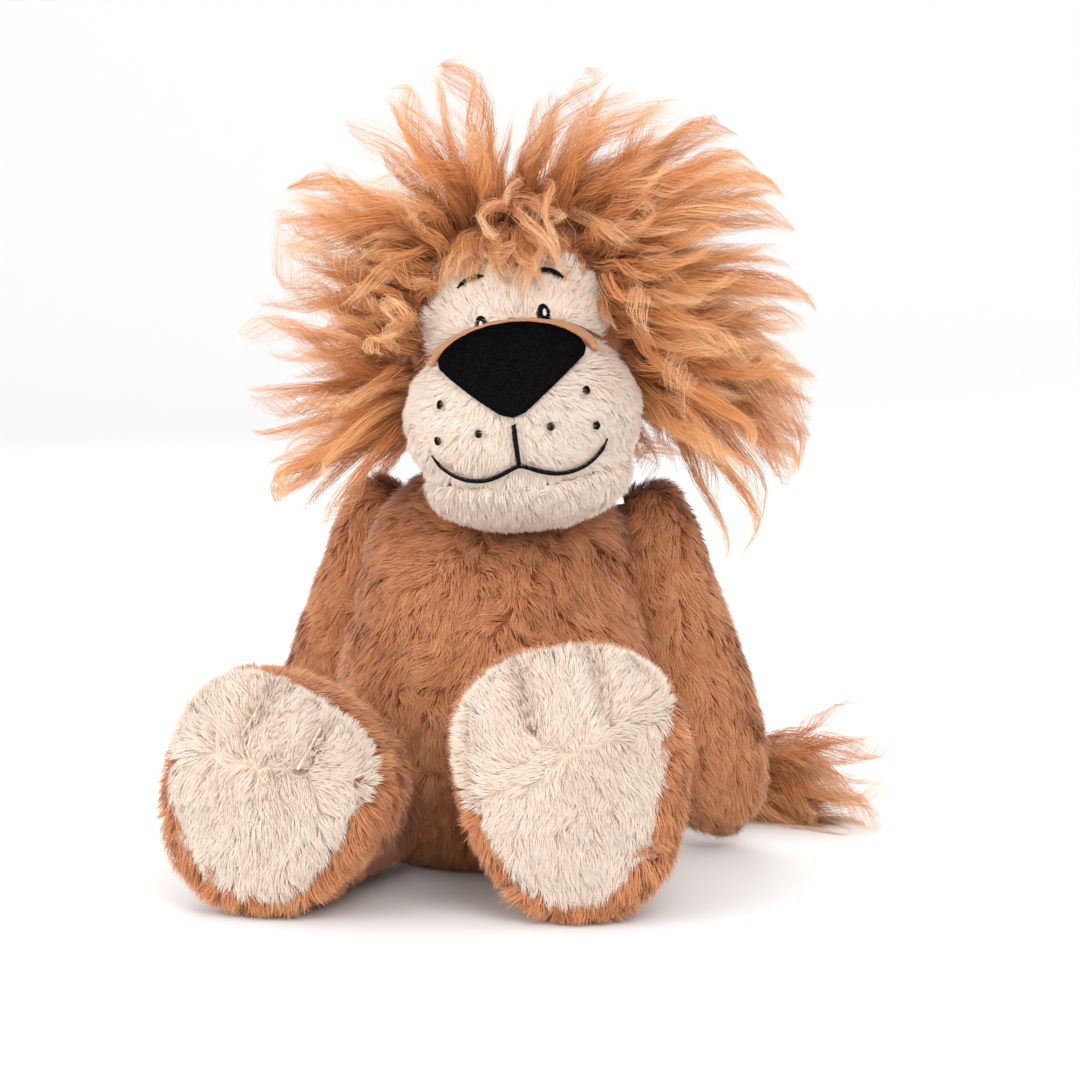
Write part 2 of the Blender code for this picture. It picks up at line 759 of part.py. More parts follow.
def make_mouth(head):
    lift = SEWN_GAP + MOUTH_THREAD_RADIUS
    philtrum = [muzzle_front(u, v, lift) for u, v in PHILTRUM_SHARES]
    thread("philtrum_stitch", philtrum, MOUTH_THREAD_RADIUS, "black_thread", head)
    smile = mirrored_strip(SMILE_SHARES)
    smile = smooth_line([Vector((u, v, 0)) for u, v in smile], SMILE_STEPS)
    line = [muzzle_front(p.x, p.y, lift) for p in smile]
    thread("mouth_stitch", line, MOUTH_THREAD_RADIUS, "black_thread", head)
    for side, sign in SIDES:
        for place, across, rise in DOT_PLACE_SHARES:
            make_pad(
                f"whisker_dot_{place}_{side}",
                muzzle_front(sign * across, rise, 0),
                muzzle_front(sign * across, rise, DOT_HEIGHT),
                (DOT_RADIUS, DOT_RADIUS),
                "black_thread",
                head,
            )


def make_pad(name, foot, top, halves, finish, head):
    """A small embroidered pad: satin stitch that stands up from foot to top."""
    out = (top - foot).normalized()
    across = Vector((0, 0, 1)).cross(out).normalized()
    along = out.cross(across)
    tall = (top - foot).length
    foot = foot + out * SEWN_GAP
    rings = [
        ellipse_ring(foot + out * tall * h, across * halves[0] * w, along * halves[1] * w, PAD_SIDES)
        for h, w in PAD_SHAPE_SHARES
    ]
    return loft(name, rings, None, foot + out * tall, finish, head)


def make_eye(side, sign, head, muzzle_cutter):
    foot = face_point(sign * EYE_SPREAD, EYE_RISE, 0)
    top = face_point(sign * EYE_SPREAD, EYE_RISE, EYE_DEPTH)
    halves = (EYE_HALF_WIDTH, EYE_HALF_HEIGHT)
    cut(make_pad(f"eye_{side}", foot, top, halves, "black_thread", head), muzzle_cutter)
    place = (sign * EYE_SPREAD + GLINT_SIDE, EYE_RISE + GLINT_RISE)
    low = face_point(*place, EYE_DEPTH + SEWN_GAP)
    high = face_point(*place, EYE_DEPTH + SEWN_GAP + GLINT_DEPTH)
    halves = (GLINT_HALF_WIDTH, GLINT_HALF_HEIGHT)
    make_pad(f"eye_glint_{side}", low, high, halves, "white_thread", head)


def make_brow(side, sign, head):
    """An arched eyebrow stitch whose inner end is the higher one."""
    lift = SEWN_GAP + BROW_THREAD_RADIUS
    line = []
    for share in BROW_STEP_SHARES:
        along = share * BROW_HALF_LENGTH
        arch = BROW_ARCH * (1 - share**2)
        across = along * math.cos(BROW_SLOPE) + arch * math.sin(BROW_SLOPE)
        rise = arch * math.cos(BROW_SLOPE) - along * math.sin(BROW_SLOPE)
        line.append(face_point(sign * (BROW_SPREAD + across), BROW_RISE + rise, lift))
    thread(f"eyebrow_{side}", line, BROW_THREAD_RADIUS, "black_thread", head)


def lock_line(azimuth, elevation, length, sweep, droop, phase):
    """The middle line of one lock, from its root on the mane's backing to its tip."""
    out = head_direction(azimuth, elevation)
    root = out * (HEAD_RADIUS + SEWN_GAP + MANE_BACKING_THICKNESS)
    side = Vector((math.copysign(1.0, azimuth), 0, 0))
    wave_across = Vector((0, 0, 1)).cross(out)
    points = []
    for k in range(1, LOCK_STEPS + 1):
        t = k / LOCK_STEPS
        point = root + out * length * t
        point += side * length * sweep * t**2
        point -= Vector((0, 0, 1)) * length * droop * t**2
        point += wave_across * LOCK_WAVE * math.sin(2 * math.pi * LOCK_WAVES * t + phase)
        points.append(point)
    return points


def grow_lock(bm, face, line, inset):
    """Draws one face out along a line, swelling a little and then tapering to a tip."""
    bmesh.ops.inset_individual(bm, faces=[face], thickness=inset)
    shares = [1.0]
    for k in range(1, len(line) + 1):
        t = k / len(line)
        shares.append(LOCK_SWELL_SHARE * (1 - t**LOCK_TAPER_POWER) + LOCK_TIP_SHARE * t)
    for point, was, now in zip(line, shares, shares[1:]):
        made = bmesh.ops.extrude_discrete_faces(bm, faces=[face])["faces"][0]
        middle = made.calc_center_median()
        for vert in made.verts:
            vert.co = point + (vert.co - middle) * (now / was)
        face = made


def mane_panel(name, low_edge, high_edge, heights, cells, lock, head):
    """A sewn panel of long pile, one lock to a cell.

    The edges are its azimuths from and to at its lowest and highest elevation in heights,
    cells its columns and rows, and lock the pile's length, sideways sweep and droop.
    """
    columns, rows = cells
    low, high = heights
    over, under, angles = [], [], []
    widest = max(abs(edge[1] - edge[0]) for edge in (low_edge, high_edge)) / columns
    nearest = min(abs(low), abs(high)) if low * high > 0 else 0
    half_cell = math.hypot(widest * math.cos(nearest), (high - low) / rows) / 2
    out = (HEAD_RADIUS + SEWN_GAP) / math.cos(half_cell)
    for r in range(rows + 1):
        share = r / rows
        elevation = low + (high - low) * share
        start, end = (a + (b - a) * share for a, b in zip(low_edge, high_edge))
        row = [start + (end - start) * c / columns for c in range(columns + 1)]
        angles.append([(azimuth, elevation) for azimuth in row])
        under.append([head_direction(a, elevation) * out for a in row])
        over.append([head_direction(a, elevation) * (out + MANE_BACKING_THICKNESS) for a in row])
    bm, outer = grid_mesh(over, under)
    length, sweep, droop = lock
    for (r, c), face in outer.items():
        around = [angles[i][j] for i in (r, r + 1) for j in (c, c + 1)]
        azimuth = sum(a for a, _ in around) / len(around)
        elevation = sum(e for _, e in around) / len(around)
        phase = sum(a * b for a, b in zip(LOCK_PHASE_SHARES, (r, c, azimuth)))
        own = length * (1 + LOCK_LENGTH_SPREAD * math.sin(phase))
        line = lock_line(azimuth, elevation, own, sweep, droop, phase)
        grow_lock(bm, face, line, LOCK_ROOT_INSET)
    finish_bmesh(name, bm, "mane_pile", head)


def make_mane(head):
    back = math.pi - MANE_SEAM
    side_top = MANE_SIDE_TOP - MANE_SEAM
    slant = (CHEEK_LOW_BACK - CHEEK_HIGH_BACK) / (side_top - MANE_LOW)
    nape_front = CHEEK_LOW_BACK + slant * (MANE_LOW - NAPE_LOW) + MANE_SEAM
    for side, sign in SIDES:
        cheek_low = (sign * CHEEK_LOW_FRONT, sign * CHEEK_LOW_BACK)
        cheek_high = (sign * CHEEK_HIGH_FRONT, sign * CHEEK_HIGH_BACK)
        cheek_lock = (CHEEK_LOCK_LENGTH, 0.0, CHEEK_DROOP)
        heights = (MANE_LOW, side_top)
        mane_panel(f"mane_cheek_{side}", cheek_low, cheek_high, heights, (4, 5), cheek_lock, head)
        back_low = (sign * nape_front, sign * back)
        back_high = (sign * (CHEEK_HIGH_BACK + MANE_SEAM), sign * back)
        back_lock = (BACK_LOCK_LENGTH, 0.0, NAPE_DROOP)
        heights = (NAPE_LOW, side_top)
        mane_panel(f"mane_back_{side}", back_low, back_high, heights, (3, 5), back_lock, head)
        crown = (sign * MANE_SEAM, sign * back)
        crown_lock = (CROWN_LOCK_LENGTH, CROWN_SWEEP, 0.0)
        mane_panel(
            f"mane_crown_{side}", crown, crown, (MANE_SIDE_TOP, MANE_TOP), (6, 2), crown_lock, head
        )
    brow = CHEEK_HIGH_FRONT - 2 * MANE_SEAM
    edge = (-brow, brow)
    heights = (MANE_BROW, side_top)
    mane_panel(
        "mane_forelock", edge, edge, heights, (4, 1), (FORELOCK_LENGTH, 0.0, FORELOCK_DROOP), head
    )


def arm_station(share, wide, thick, sign):
    """One section of an arm, seen from its shoulder seam."""
    down = ARM_LENGTH * share
    middle = Vector((sign * ARM_OUT, 0, -down))
    across = Vector((sign * ARM_HALF_THICKNESS * thick, 0, 0))
    along = Vector((0, ARM_HALF_WIDTH * wide, 0))
    return ellipse_ring(middle, across, along, ARM_SIDES)


def make_arm(side, sign, body_cutter):
    place = Vector((sign * SHOULDER_SIDE, SHOULDER_BACK, SHOULDER_HEIGHT))
    shoulder = pivot(f"shoulder_{side}", place, Matrix.Rotation(-sign * ARM_TILT, 4, "Y"))
    rings = [arm_station(*station, sign) for station in ARM_STATION_SHARES]
    poles = [Vector((sign * ARM_OUT, 0, -ARM_LENGTH * share)) for share in ARM_POLE_SHARES]
    arm = loft(f"arm_{side}", rings, *poles, "brown_plush", shoulder)
    cut(arm, body_cutter)


def foot_point(turn, tall_share):
    """A point of the foot's outline about its middle, wide at the toes and narrow at the heel."""
    across, rise = math.cos(turn), math.sin(turn)
    square = 1 + FOOT_SQUARE_SHARE * math.sin(2 * turn) ** 2
    wide = FOOT_HALF_WIDTH * square * (1 + FOOT_EGG_SHARE * rise)
    return across * wide, rise * FOOT_HALF_HEIGHT * tall_share * square


def foot_middle(side):
    """The height of the foot's middle over the hip's, from its rolled outline on the ground."""
    return -min(rolled(side, *foot_point(a, FOOT_TALL_SHARES[side])).z for a in leg_turns()) - HIP_HEIGHT


def leg_turns():
    return [2 * math.pi * i / LEG_SIDES for i in range(LEG_SIDES)]


def rolled(side, across, rise):
    """A place in the foot's outline after the foot has rolled its toes inwards."""
    sign = dict(SIDES)[side]
    point = Vector((across, 0, rise))
    point.rotate(Matrix.Rotation(-sign * FOOT_ROLL[side], 3, "Y"))
    return point


def leg_rings(side, up, down, grow):
    """The leg's sections from its hip ball to its sole; up and down flare it for a cutter.

    The ball grows twice as much as the rest, so that its facets clear their seat as it turns.
    """
    ball = HIP_RADIUS + 2 * grow
    rings = []
    for angle in HIP_RING_ANGLES:
        behind, radius = ball * math.sin(angle), ball * math.cos(angle)
        rings.append([Vector((radius * math.cos(a), behind, radius * math.sin(a))) for a in leg_turns()])
    middle = foot_middle(side)
    for place, wide, tall, rise in LEG_STATION_SHARES:
        ahead = LEG_LENGTH[side] * place
        ring = []
        for a in leg_turns():
            foot = rolled(side, *foot_point(a, FOOT_TALL_SHARES[side]))
            x = HIP_RADIUS * math.cos(a) * (1 - wide) + foot.x * wide
            z = HIP_RADIUS * math.sin(a) * (1 - tall) + foot.z * tall + middle * rise
            flare = ahead * math.tan(up if math.sin(a) > 0 else down) * math.sin(a)
            ring.append(Vector((x + grow * math.cos(a), -ahead, z + grow * math.sin(a) + flare)))
        rings.append(ring)
    return rings


def make_leg(side, sign, body):
    place = Vector((sign * HIP_SIDE, -HIP_FORWARD, HIP_HEIGHT))
    hip = pivot(f"hip_{side}", place, Matrix.Rotation(sign * LEG_SPLAY[side], 4, "Z"))
    rings = leg_rings(side, 0, 0, 0)
    loft(f"leg_{side}", rings, Vector((0, HIP_RADIUS, 0)), None, "brown_plush", hip)
    flared = leg_rings(side, HIP_UP, HIP_DOWN, JOINT_GAP)
    pole = Vector((0, HIP_RADIUS + 2 * JOINT_GAP, 0))
    cut(body, helper(loft(f"hip_cutter_{side}", flared, pole, None, None, hip)))
    make_sole(side, hip)


def groove(u, v):
    """How far a place on the sole lies in a toe groove, from 0 to 1."""
    rise = v / FOOT_HALF_HEIGHT
    if rise < TOE_GROOVE_START_SHARE:
        return 0.0
    into = min(1.0, (rise - TOE_GROOVE_START_SHARE) / TOE_GROOVE_INTO_SHARE)
    across = abs(abs(u / FOOT_HALF_WIDTH) - TOE_GROOVE_SHARE) / TOE_GROOVE_WIDTH_SHARE
    return into * math.exp(-(across**2))


def sole_lift(u, v, share):
    crown = SOLE_EDGE + SOLE_BULGE * math.sqrt(max(0.0, 1 - share**2))
    return SEWN_GAP + crown - min(crown - SOLE_EDGE, TOE_GROOVE_DEPTH * groove(u, v))


def make_sole(side, hip):
    outline = []
    for a in leg_turns():
        u, v = foot_point(a, FOOT_TALL_SHARES[side])
        outline.append((u * SOLE_WIDE_SHARE, v * SOLE_TALL_SHARE))
    middle = foot_middle(side)

    def place(u, v, lift):
        point = rolled(side, u, v + SOLE_RISE)
        return Vector((point.x, -LEG_LENGTH[side] - lift, point.z + middle))

    sole = polar_shell(
        f"sole_{side}",
        outline,
        SOLE_RING_SHARES,
        place,
        lambda share: SEWN_GAP,
        sole_lift,
        "cream_plush",
        hip,
    )
    for groove_side, across in (("inner", -1.0), ("outer", 1.0)):
        u = across * TOE_GROOVE_SHARE * FOOT_HALF_WIDTH
        line = []
        for share in TOE_STITCH_SHARES:
            v = share * FOOT_HALF_HEIGHT * FOOT_TALL_SHARES[side]
            away = math.hypot(u / FOOT_HALF_WIDTH, v / FOOT_HALF_HEIGHT)
            line.append(place(u, v, sole_lift(u, v, away) + TOE_THREAD_RADIUS))
        name = f"toe_stitch_{groove_side}_{side}"
        ahead = Vector((0, 1, 0))
        tube(name, line, TOE_THREAD_RADIUS, ahead, TOE_THREAD_SIDES, "cream_thread", hip)
        line[0] += (line[0] - line[1]).normalized() * SEWN_GAP
        line[-1] += (line[-1] - line[-2]).normalized() * SEWN_GAP
        groove_radius = TOE_THREAD_RADIUS + SEWN_GAP
        cutter = tube(name + "_seat", line, groove_radius, ahead, TOE_THREAD_SIDES, None, hip)
        cut(sole, helper(cutter))


def tail_line():
    """The tail's middle line: straight out of the back, then a curl to the lion's left."""
    root = Vector((0, TAIL_ROOT_BACK, TAIL_ROOT_HEIGHT))
    centre = root + Vector((TAIL_CURL_RADIUS, 0, 0))
    line = []
    for k in range(TAIL_RINGS + 1):
        turn = TAIL_CURL_ANGLE * k / TAIL_RINGS
        drop = (TAIL_ROOT_HEIGHT - TAIL_RADIUS) * min(1.0, k / (TAIL_RINGS * TAIL_DROP_SHARE))
        point = centre + Vector((-math.cos(turn), math.sin(turn), 0)) * TAIL_CURL_RADIUS
        line.append((point - Vector((0, 0, drop)), turn))
    return line


def make_tail(body):
    root = Vector((0, TAIL_ROOT_BACK, TAIL_ROOT_HEIGHT))
    halves = [TAIL_BALL_RADIUS + JOINT_GAP] * 3
    socket = ellipsoid("tail_socket", root, halves, TAIL_SIDES * 2, TAIL_SIDES, None)
    cut(body, helper(socket))
    rings = []
    for k, (point, turn) in enumerate(tail_line()):
        radius = TAIL_BALL_RADIUS + (TAIL_RADIUS - TAIL_BALL_RADIUS) * min(1.0, k / TAIL_TAPER_RINGS)
        across = Vector((math.cos(turn), -math.sin(turn), 0)) * radius
        rings.append(ellipse_ring(point, across, Vector((0, 0, radius)), TAIL_SIDES))
    start = root - Vector((0, TAIL_BALL_RADIUS, 0))
    small = TAIL_BALL_RADIUS * TAIL_END_SHARE
    near = root - Vector((0, small, 0))
    rings.insert(0, ellipse_ring(near, Vector((small, 0, 0)), Vector((0, 0, small)), TAIL_SIDES))
    loft("tail", rings, start, None, "brown_plush")
    make_tuft(*tail_line()[-1])


def make_tuft(end, turn):
    """The tail's tuft: a core at the tail's end, drawn out into locks along the ground."""
    ahead = Vector((math.sin(turn), math.cos(turn), 0))
    across = Vector((math.cos(turn), -math.sin(turn), 0))
    lift = max(0.0, TUFT_CORE_HALF_WIDTH - end.z + TUFT_GROUND_GAP)
    middle = end + ahead * (TUFT_CORE_HALF_LENGTH + SEWN_GAP) + Vector((0, 0, lift))
    bm = bmesh.new()
    start = [middle - ahead * TUFT_CORE_HALF_LENGTH]
    rings = []
    for k in range(1, TUFT_RINGS):
        lat = -math.pi / 2 + math.pi * k / TUFT_RINGS
        wide = TUFT_CORE_HALF_WIDTH * math.cos(lat)
        place = middle + ahead * TUFT_CORE_HALF_LENGTH * math.sin(lat)
        rings.append(ellipse_ring(place, across * wide, Vector((0, 0, wide)), TUFT_SIDES))
    rows = [[bm.verts.new(p) for p in ring] for ring in rings]
    tail_end = bm.verts.new(start[0])
    tip = bm.verts.new(middle + ahead * TUFT_CORE_HALF_LENGTH)
    grown = []
    for r in range(len(rows) - 1):
        for i in range(TUFT_SIDES):
            j = (i + 1) % TUFT_SIDES
            face = bm.faces.new((rows[r][i], rows[r][j], rows[r + 1][j], rows[r + 1][i]))
            if r >= 1 and (r + i) % 2:
                grown.append(face)
    for i in range(TUFT_SIDES):
        j = (i + 1) % TUFT_SIDES
        bm.faces.new((rows[0][j], rows[0][i], tail_end))
        bm.faces.new((rows[-1][i], rows[-1][j], tip))
    bmesh.ops.recalc_face_normals(bm, faces=bm.faces)
    for k, face in enumerate(grown):
        grow_lock(bm, face, tuft_line(face, middle, ahead, k), LOCK_ROOT_INSET * TUFT_INSET_SHARE)
    finish_bmesh("tail_tuft", bm, "mane_pile", None)


def tuft_line(face, middle, ahead, k):
    """One lock of the tuft, which leaves its face and bends along the tail's own line."""
    root = face.calc_center_median()
    out = (root - middle).normalized()
    own = TUFT_LOCK_LENGTH * (1 + LOCK_LENGTH_SPREAD * math.sin(TUFT_PHASE * k))
    line = []
    for step in range(1, LOCK_STEPS + 1):
        t = step / LOCK_STEPS
        spread = out * own * TUFT_LOCK_SPREAD * t * (1 - TUFT_GATHER_SHARE * t)
        point = root + ahead * own * t + spread
        lowest = TUFT_CORE_HALF_WIDTH * TUFT_LIFT_SHARE * (1 - TUFT_THIN_SHARE * t)
        point.z = max(point.z - own * TUFT_DROOP_SHARE * t**2, TUFT_GROUND_GAP + lowest)
        line.append(point)
    return line


def main():
    clear_scene()
    body = make_body()
    head_middle = Vector((HEAD_SIDE, 0, HEAD_HEIGHT))
    turn = (
        Matrix.Rotation(HEAD_YAW, 4, "Z")
        @ Matrix.Rotation(HEAD_ROLL, 4, "Y")
    )
    head = pivot("neck_pivot", head_middle, turn)
    make_neck(body, head_middle)
    make_head(head)
    make_mane(head)
    for side, sign in SIDES:
        make_leg(side, sign, body)
    make_tail(body)
    arm_seat = helper(body_shape("arm_seat", SEWN_GAP, None))
    for side, sign in SIDES:
        make_arm(side, sign, arm_seat)


main()
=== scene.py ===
"""Looks of the seated plush lion: skins, short pile, long mane locks, embroidery, light and camera.

Metres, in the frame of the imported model: +Z up, the lion faces -Y and its left side is at +X.
"""

import math

import bpy
import numpy as np
from mathutils import Matrix, Vector
from mathutils.bvhtree import BVHTree
from mathutils.kdtree import KDTree


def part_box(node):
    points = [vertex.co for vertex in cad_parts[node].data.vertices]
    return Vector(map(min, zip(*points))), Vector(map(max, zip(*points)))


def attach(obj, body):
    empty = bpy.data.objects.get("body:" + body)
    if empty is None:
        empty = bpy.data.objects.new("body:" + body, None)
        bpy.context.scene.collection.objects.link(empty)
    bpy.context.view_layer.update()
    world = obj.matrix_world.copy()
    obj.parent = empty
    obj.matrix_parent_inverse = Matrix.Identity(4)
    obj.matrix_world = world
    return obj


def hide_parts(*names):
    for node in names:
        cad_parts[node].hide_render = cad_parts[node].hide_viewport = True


# Camera, which stands where the photograph was taken from
CAMERA_AZIMUTH = math.radians(14.0)
CAMERA_ELEVATION = math.radians(6.0)
CAMERA_DISTANCE = 1.5
CAMERA_TARGET = Vector((0.0166, 0.0041, 0.140))
FRAME_WIDTH = 0.486
SENSOR_MM = 36.0

# The head's own frame and the muzzle in it, as the solids have them
HEAD_MIDDLE = Vector((0.012, 0.0, 0.226))
HEAD_YAW = math.radians(9.0)
HEAD_ROLL = math.radians(-6.0)
HEAD_RADIUS = 0.057
MUZZLE_HALVES = (0.052, 0.042, 0.040)
MUZZLE_MIDDLE = Vector((0.0, -0.054, -0.0265))
NOSE_ON_MUZZLE = (0.0, 0.62)
FACE_LIFT = 0.0023
NOSE_SHRINK = 0.035
EYE_SINK = {"left": 0.0, "right": 0.0024}

# Pile, in metres and strands to a square metre; its lift and bend in degrees
FLOOR_GAP = 0.0004
TONES = 64
STRIP_FACES = 190000
COVER_REACH = 0.0018
CREASE_REACH = 0.0070
PILE_UP = np.array((0.0, 0.0, 0.22))
BROWN_PILE = {
    "density": 2.1e6,
    "length": 0.0094,
    "width": 0.00040,
    "lift": 36.0,
    "bend": 22.0,
    "clump": 0.0058,
    "pull": 0.17,
    "swirl": 1.0,
    "round": 0.24,
    "mottle": 1.15,
    "tilt": 0.45,
    "contact": 0.75,
}
CREAM_PILE = {
    "density": 3.0e6,
    "length": 0.0058,
    "width": 0.00032,
    "lift": 38.0,
    "bend": 24.0,
    "clump": 0.0048,
    "pull": 0.20,
    "swirl": 0.8,
    "round": 0.12,
    "mottle": 0.50,
    "tilt": 0.35,
    "contact": 0.90,
}
LEG_PILE = {**BROWN_PILE, "tilt": -0.50, "lift": 44.0}
TOE_PILE = {**CREAM_PILE, "tilt": -0.90, "contact": 1.0, "lift": 50.0, "bend": 12.0}
SOLE_PILE = {**CREAM_PILE, "length": 0.0074, "clump": 0.0056, "pull": 0.14, "mottle": 0.42}
NOSE_PILE = {
    "density": 6.0e6,
    "length": 0.0008,
    "width": 0.00016,
    "lift": 26.0,
    "bend": 12.0,
    "clump": 0.0010,
    "pull": 0.1,
    "swirl": 0.5,
    "round": 0.02,
    "mottle": 0.35,
    "tilt": 0.02,
    "contact": 0.90,
}

# Mane and tuft locks
LOCK_STEPS = 10
STRAY_SHARE = 0.13
MANE_LOCKS = 760
MANE_KEPT_SHARE = 0.60
MANE_LOCK = {"strands": 62, "wave": 0.0072, "spread": 0.0040, "width": 0.00031}
MANE_LENGTHS = {"crown": 0.080, "side": 0.078, "back": 0.054, "brow": 0.019}
MANE_FLOW = 0.060
MANE_HOLD = (0.104, 0.133)
MANE_BACKING = 0.0042
MANE_VOXEL = 0.0012
TUFT_LOCKS = 56
TUFT_LOCK = {"strands": 76, "wave": 0.0080, "spread": 0.0050, "width": 0.00031}
TUFT_LENGTH = 0.086
TUFT_HOLD = (0.080, 0.102)
TUFT_END = np.array((0.067, 0.105, 0.0166))
TUFT_WAY = (0.985, -0.174, 0.14)
TUFT_SPREAD = (0.25, 0.13, 0.34)
TUFT_CORE_RADIUS = 0.0085
TUFT_CORE_LENGTH = 0.018

# Angles of the mane from the head's middle, azimuth from the front; edges at the foot and at the sides' top
MANE_LOW = math.radians(-20.0)
MANE_BROW = math.radians(51.0)
MANE_SIDE_TOP = math.radians(61.0)
MANE_PARTING = math.radians(-12.0)
MANE_FRONT_TOP = MANE_SIDE_TOP + 0.10
CHEEK_FOOT = math.radians(-27)
BACK_FOOT = math.radians(-33)
BACK_EDGE = (math.radians(138), math.radians(119))
FRONT_EDGE = (math.radians(54), math.radians(33))
LEFT_FRONT_SHIFT = math.radians(5)
EDGE_BAND = math.radians(15)
AIRY_AZIMUTHS = (math.radians(-120), math.radians(-50))
AIRY_SHARE = 0.25
BROW_HALF_ANGLE = math.radians(42)
FORELOCK_HALF_ANGLE = math.radians(36)
FALLING_HALF_ANGLE = math.radians(75)
FALLING_SHARE = 0.36
BACK_START = math.radians(100)
BACK_BAND = math.radians(40)
CROWN_START = math.radians(30)
CROWN_BAND = math.radians(30)
UNDER_START = math.radians(12)
UNDER_BAND = math.radians(25)
BESIDE_FACE = math.radians(80)

# Embroidery
THREAD = 0.00024
STITCH_PITCH = 0.00040
STITCH_HEIGHT = 0.0009
GLINT_HEIGHT = 0.0004
STITCH_SIDES = 5
STITCH_RINGS = 6
MUZZLE_LIFT = 0.0010
EYE_LIFT = 0.0006
GLINT_LIFT = 0.0018
BROW_LIFT = 0.0018
MOUTH_WIDTH = 0.0023
SMILE_SHARES = (
    ((0.000, -0.450), (0.070, -0.480), (0.170, -0.535), (0.290, -0.575))
    + ((0.420, -0.565), (0.540, -0.505), (0.645, -0.395), (0.710, -0.270))
)
PHILTRUM_SHARES = ((0.0, -0.015), (0.0, -0.14), (0.0, -0.26), (0.0, -0.44))
DOT_SHARES = {"inner": (0.290, -0.075), "outer": (0.640, -0.120), "upper": (0.590, 0.245)}
DOT_SIZE = 0.0036
EYE_PLACE = (0.0135, 0.0160)
EYE_HALVES = (0.0030, 0.0046)
GLINT_PLACE = (0.0004, 0.0006)
GLINT_HALVES = (0.0009, 0.0015)
BROW_PLACE = (0.0165, 0.0320)
BROW_HALF_LENGTH = 0.0062
BROW_WIDTH = 0.0028
BROW_ARCH = 0.0016
BROW_SLOPE = math.radians(19.0)

SIDES = (("left", 1.0), ("right", -1.0))

# Pile, backing and slot of each cloth
CLOTHS = {
    "brown": ("brown_pile", "brown_skin", "brown_plush"),
    "cream": ("cream_pile", "cream_skin", "cream_plush"),
    "black": ("nose_pile", "black_skin", "black_velour"),
    "orange": ("velour_pile", "velour_skin", "orange_velour"),
}

# Voxel, rounds of smoothing and depth under the pile of each node's skin
SKINS = {
    "body": (0.0025, 6, 0.0030),
    "arm": (0.0022, 5, 0.0030),
    "leg": (0.0022, 4, 0.0030),
    "sole": (0.0012, 4, 0.0004),
    "tail": (0.0016, 3, 0.0022),
    "head": (0.0024, 2, 0.0024),
    "face_panel": (0.0009, 2, 0.0),
    "muzzle": (0.0018, 4, 0.0022),
    "chin": (0.0016, 4, 0.0020),
    "nose": (0.0007, 5, 0.0002),
    "nose_bridge": (0.0007, 2, -0.0009),
}

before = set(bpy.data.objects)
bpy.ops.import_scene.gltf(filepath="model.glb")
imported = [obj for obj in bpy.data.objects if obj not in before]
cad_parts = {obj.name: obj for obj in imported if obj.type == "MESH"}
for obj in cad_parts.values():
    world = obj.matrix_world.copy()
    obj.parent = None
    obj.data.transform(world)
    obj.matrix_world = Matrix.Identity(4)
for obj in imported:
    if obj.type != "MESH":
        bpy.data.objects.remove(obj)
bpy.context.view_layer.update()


# Vectors in arrays


def unit(vectors):
    return vectors / np.maximum(np.linalg.norm(vectors, axis=-1, keepdims=True), 1e-12)


def tangent_of(vectors, normals):
    """The vectors laid flat on the surface whose normals are given."""
    return unit(vectors - normals * (vectors * normals).sum(-1, keepdims=True))


def turned(vectors, normals, angles):
    """The tangent vectors turned about the normals."""
    angles = angles[:, None]
    return vectors * np.cos(angles) + np.cross(normals, vectors) * np.sin(angles)


def fading(values, reach):
    """A smooth share that is 1 at zero and fades beyond the reach."""
    return np.exp(-((values / reach) ** 2))


def rising(values, start, width):
    """A share that rises from 0 at the start to 1 after the width."""
    return np.clip((values - start) / width, 0, 1)


def ripple(points, size, seed):
    """A smooth wandering value from -1 to 1 over space, with swirls of about that size."""
    rng = np.random.default_rng(seed)
    waves = 7
    found = np.zeros(len(points))
    for _ in range(waves):
        along = unit(rng.normal(size=3)) * 2 * math.pi / (size * rng.uniform(0.7, 1.6))
        found += np.sin(points @ along + rng.uniform(0, 2 * math.pi))
    return found / math.sqrt(waves)


def head_matrix():
    turn = Matrix.Rotation(HEAD_YAW, 4, "Z") @ Matrix.Rotation(HEAD_ROLL, 4, "Y")
    return Matrix.Translation(HEAD_MIDDLE) @ turn


HEAD = np.array(head_matrix())


def from_head(points):
    """Points or rows of points in the head's frame, in the object's frame."""
    return np.asarray(points) @ HEAD[:3, :3].T + HEAD[:3, 3]


def turn_from_head(vectors):
    return np.asarray(vectors) @ HEAD[:3, :3].T


def muzzle_front(across, rise, lift=0.0):
    """The muzzle's front at shares of its half width and half height, and its normal there."""
    halves = np.array(MUZZLE_HALVES)
    ahead = math.sqrt(max(0.0, 1 - across**2 - rise**2))
    direction = np.array((across, -ahead, rise))
    square = unit(direction / halves)
    point = np.array(MUZZLE_MIDDLE) + halves * direction + square * lift
    return from_head(point), turn_from_head(square)


def face_front(across, rise, lift=0.0):
    """The face panel's front at a place given from the head's middle, and its normal there."""
    out = HEAD_RADIUS + FACE_LIFT
    ahead = math.sqrt(out**2 - across**2 - rise**2)
    direction = np.array((across, -ahead, rise)) / out
    return from_head(direction * (out + lift)), turn_from_head(direction)


# Node materials


def new_material(name):
    made = bpy.data.materials.new(name)
    made.use_nodes = True
    return made, made.node_tree.nodes, made.node_tree.links


def ramp(nodes, stops):
    """A colour ramp from pairs of place and colour."""
    made = nodes.new("ShaderNodeValToRGB")
    elements = made.color_ramp.elements
    while len(elements) < len(stops):
        elements.new(0.5)
    for element, (place, colour) in zip(elements, stops):
        element.position = place
        element.color = (*colour, 1.0)
    return made


def set_sockets(node, values):
    for name, value in values.items():
        node.inputs[name].default_value = value


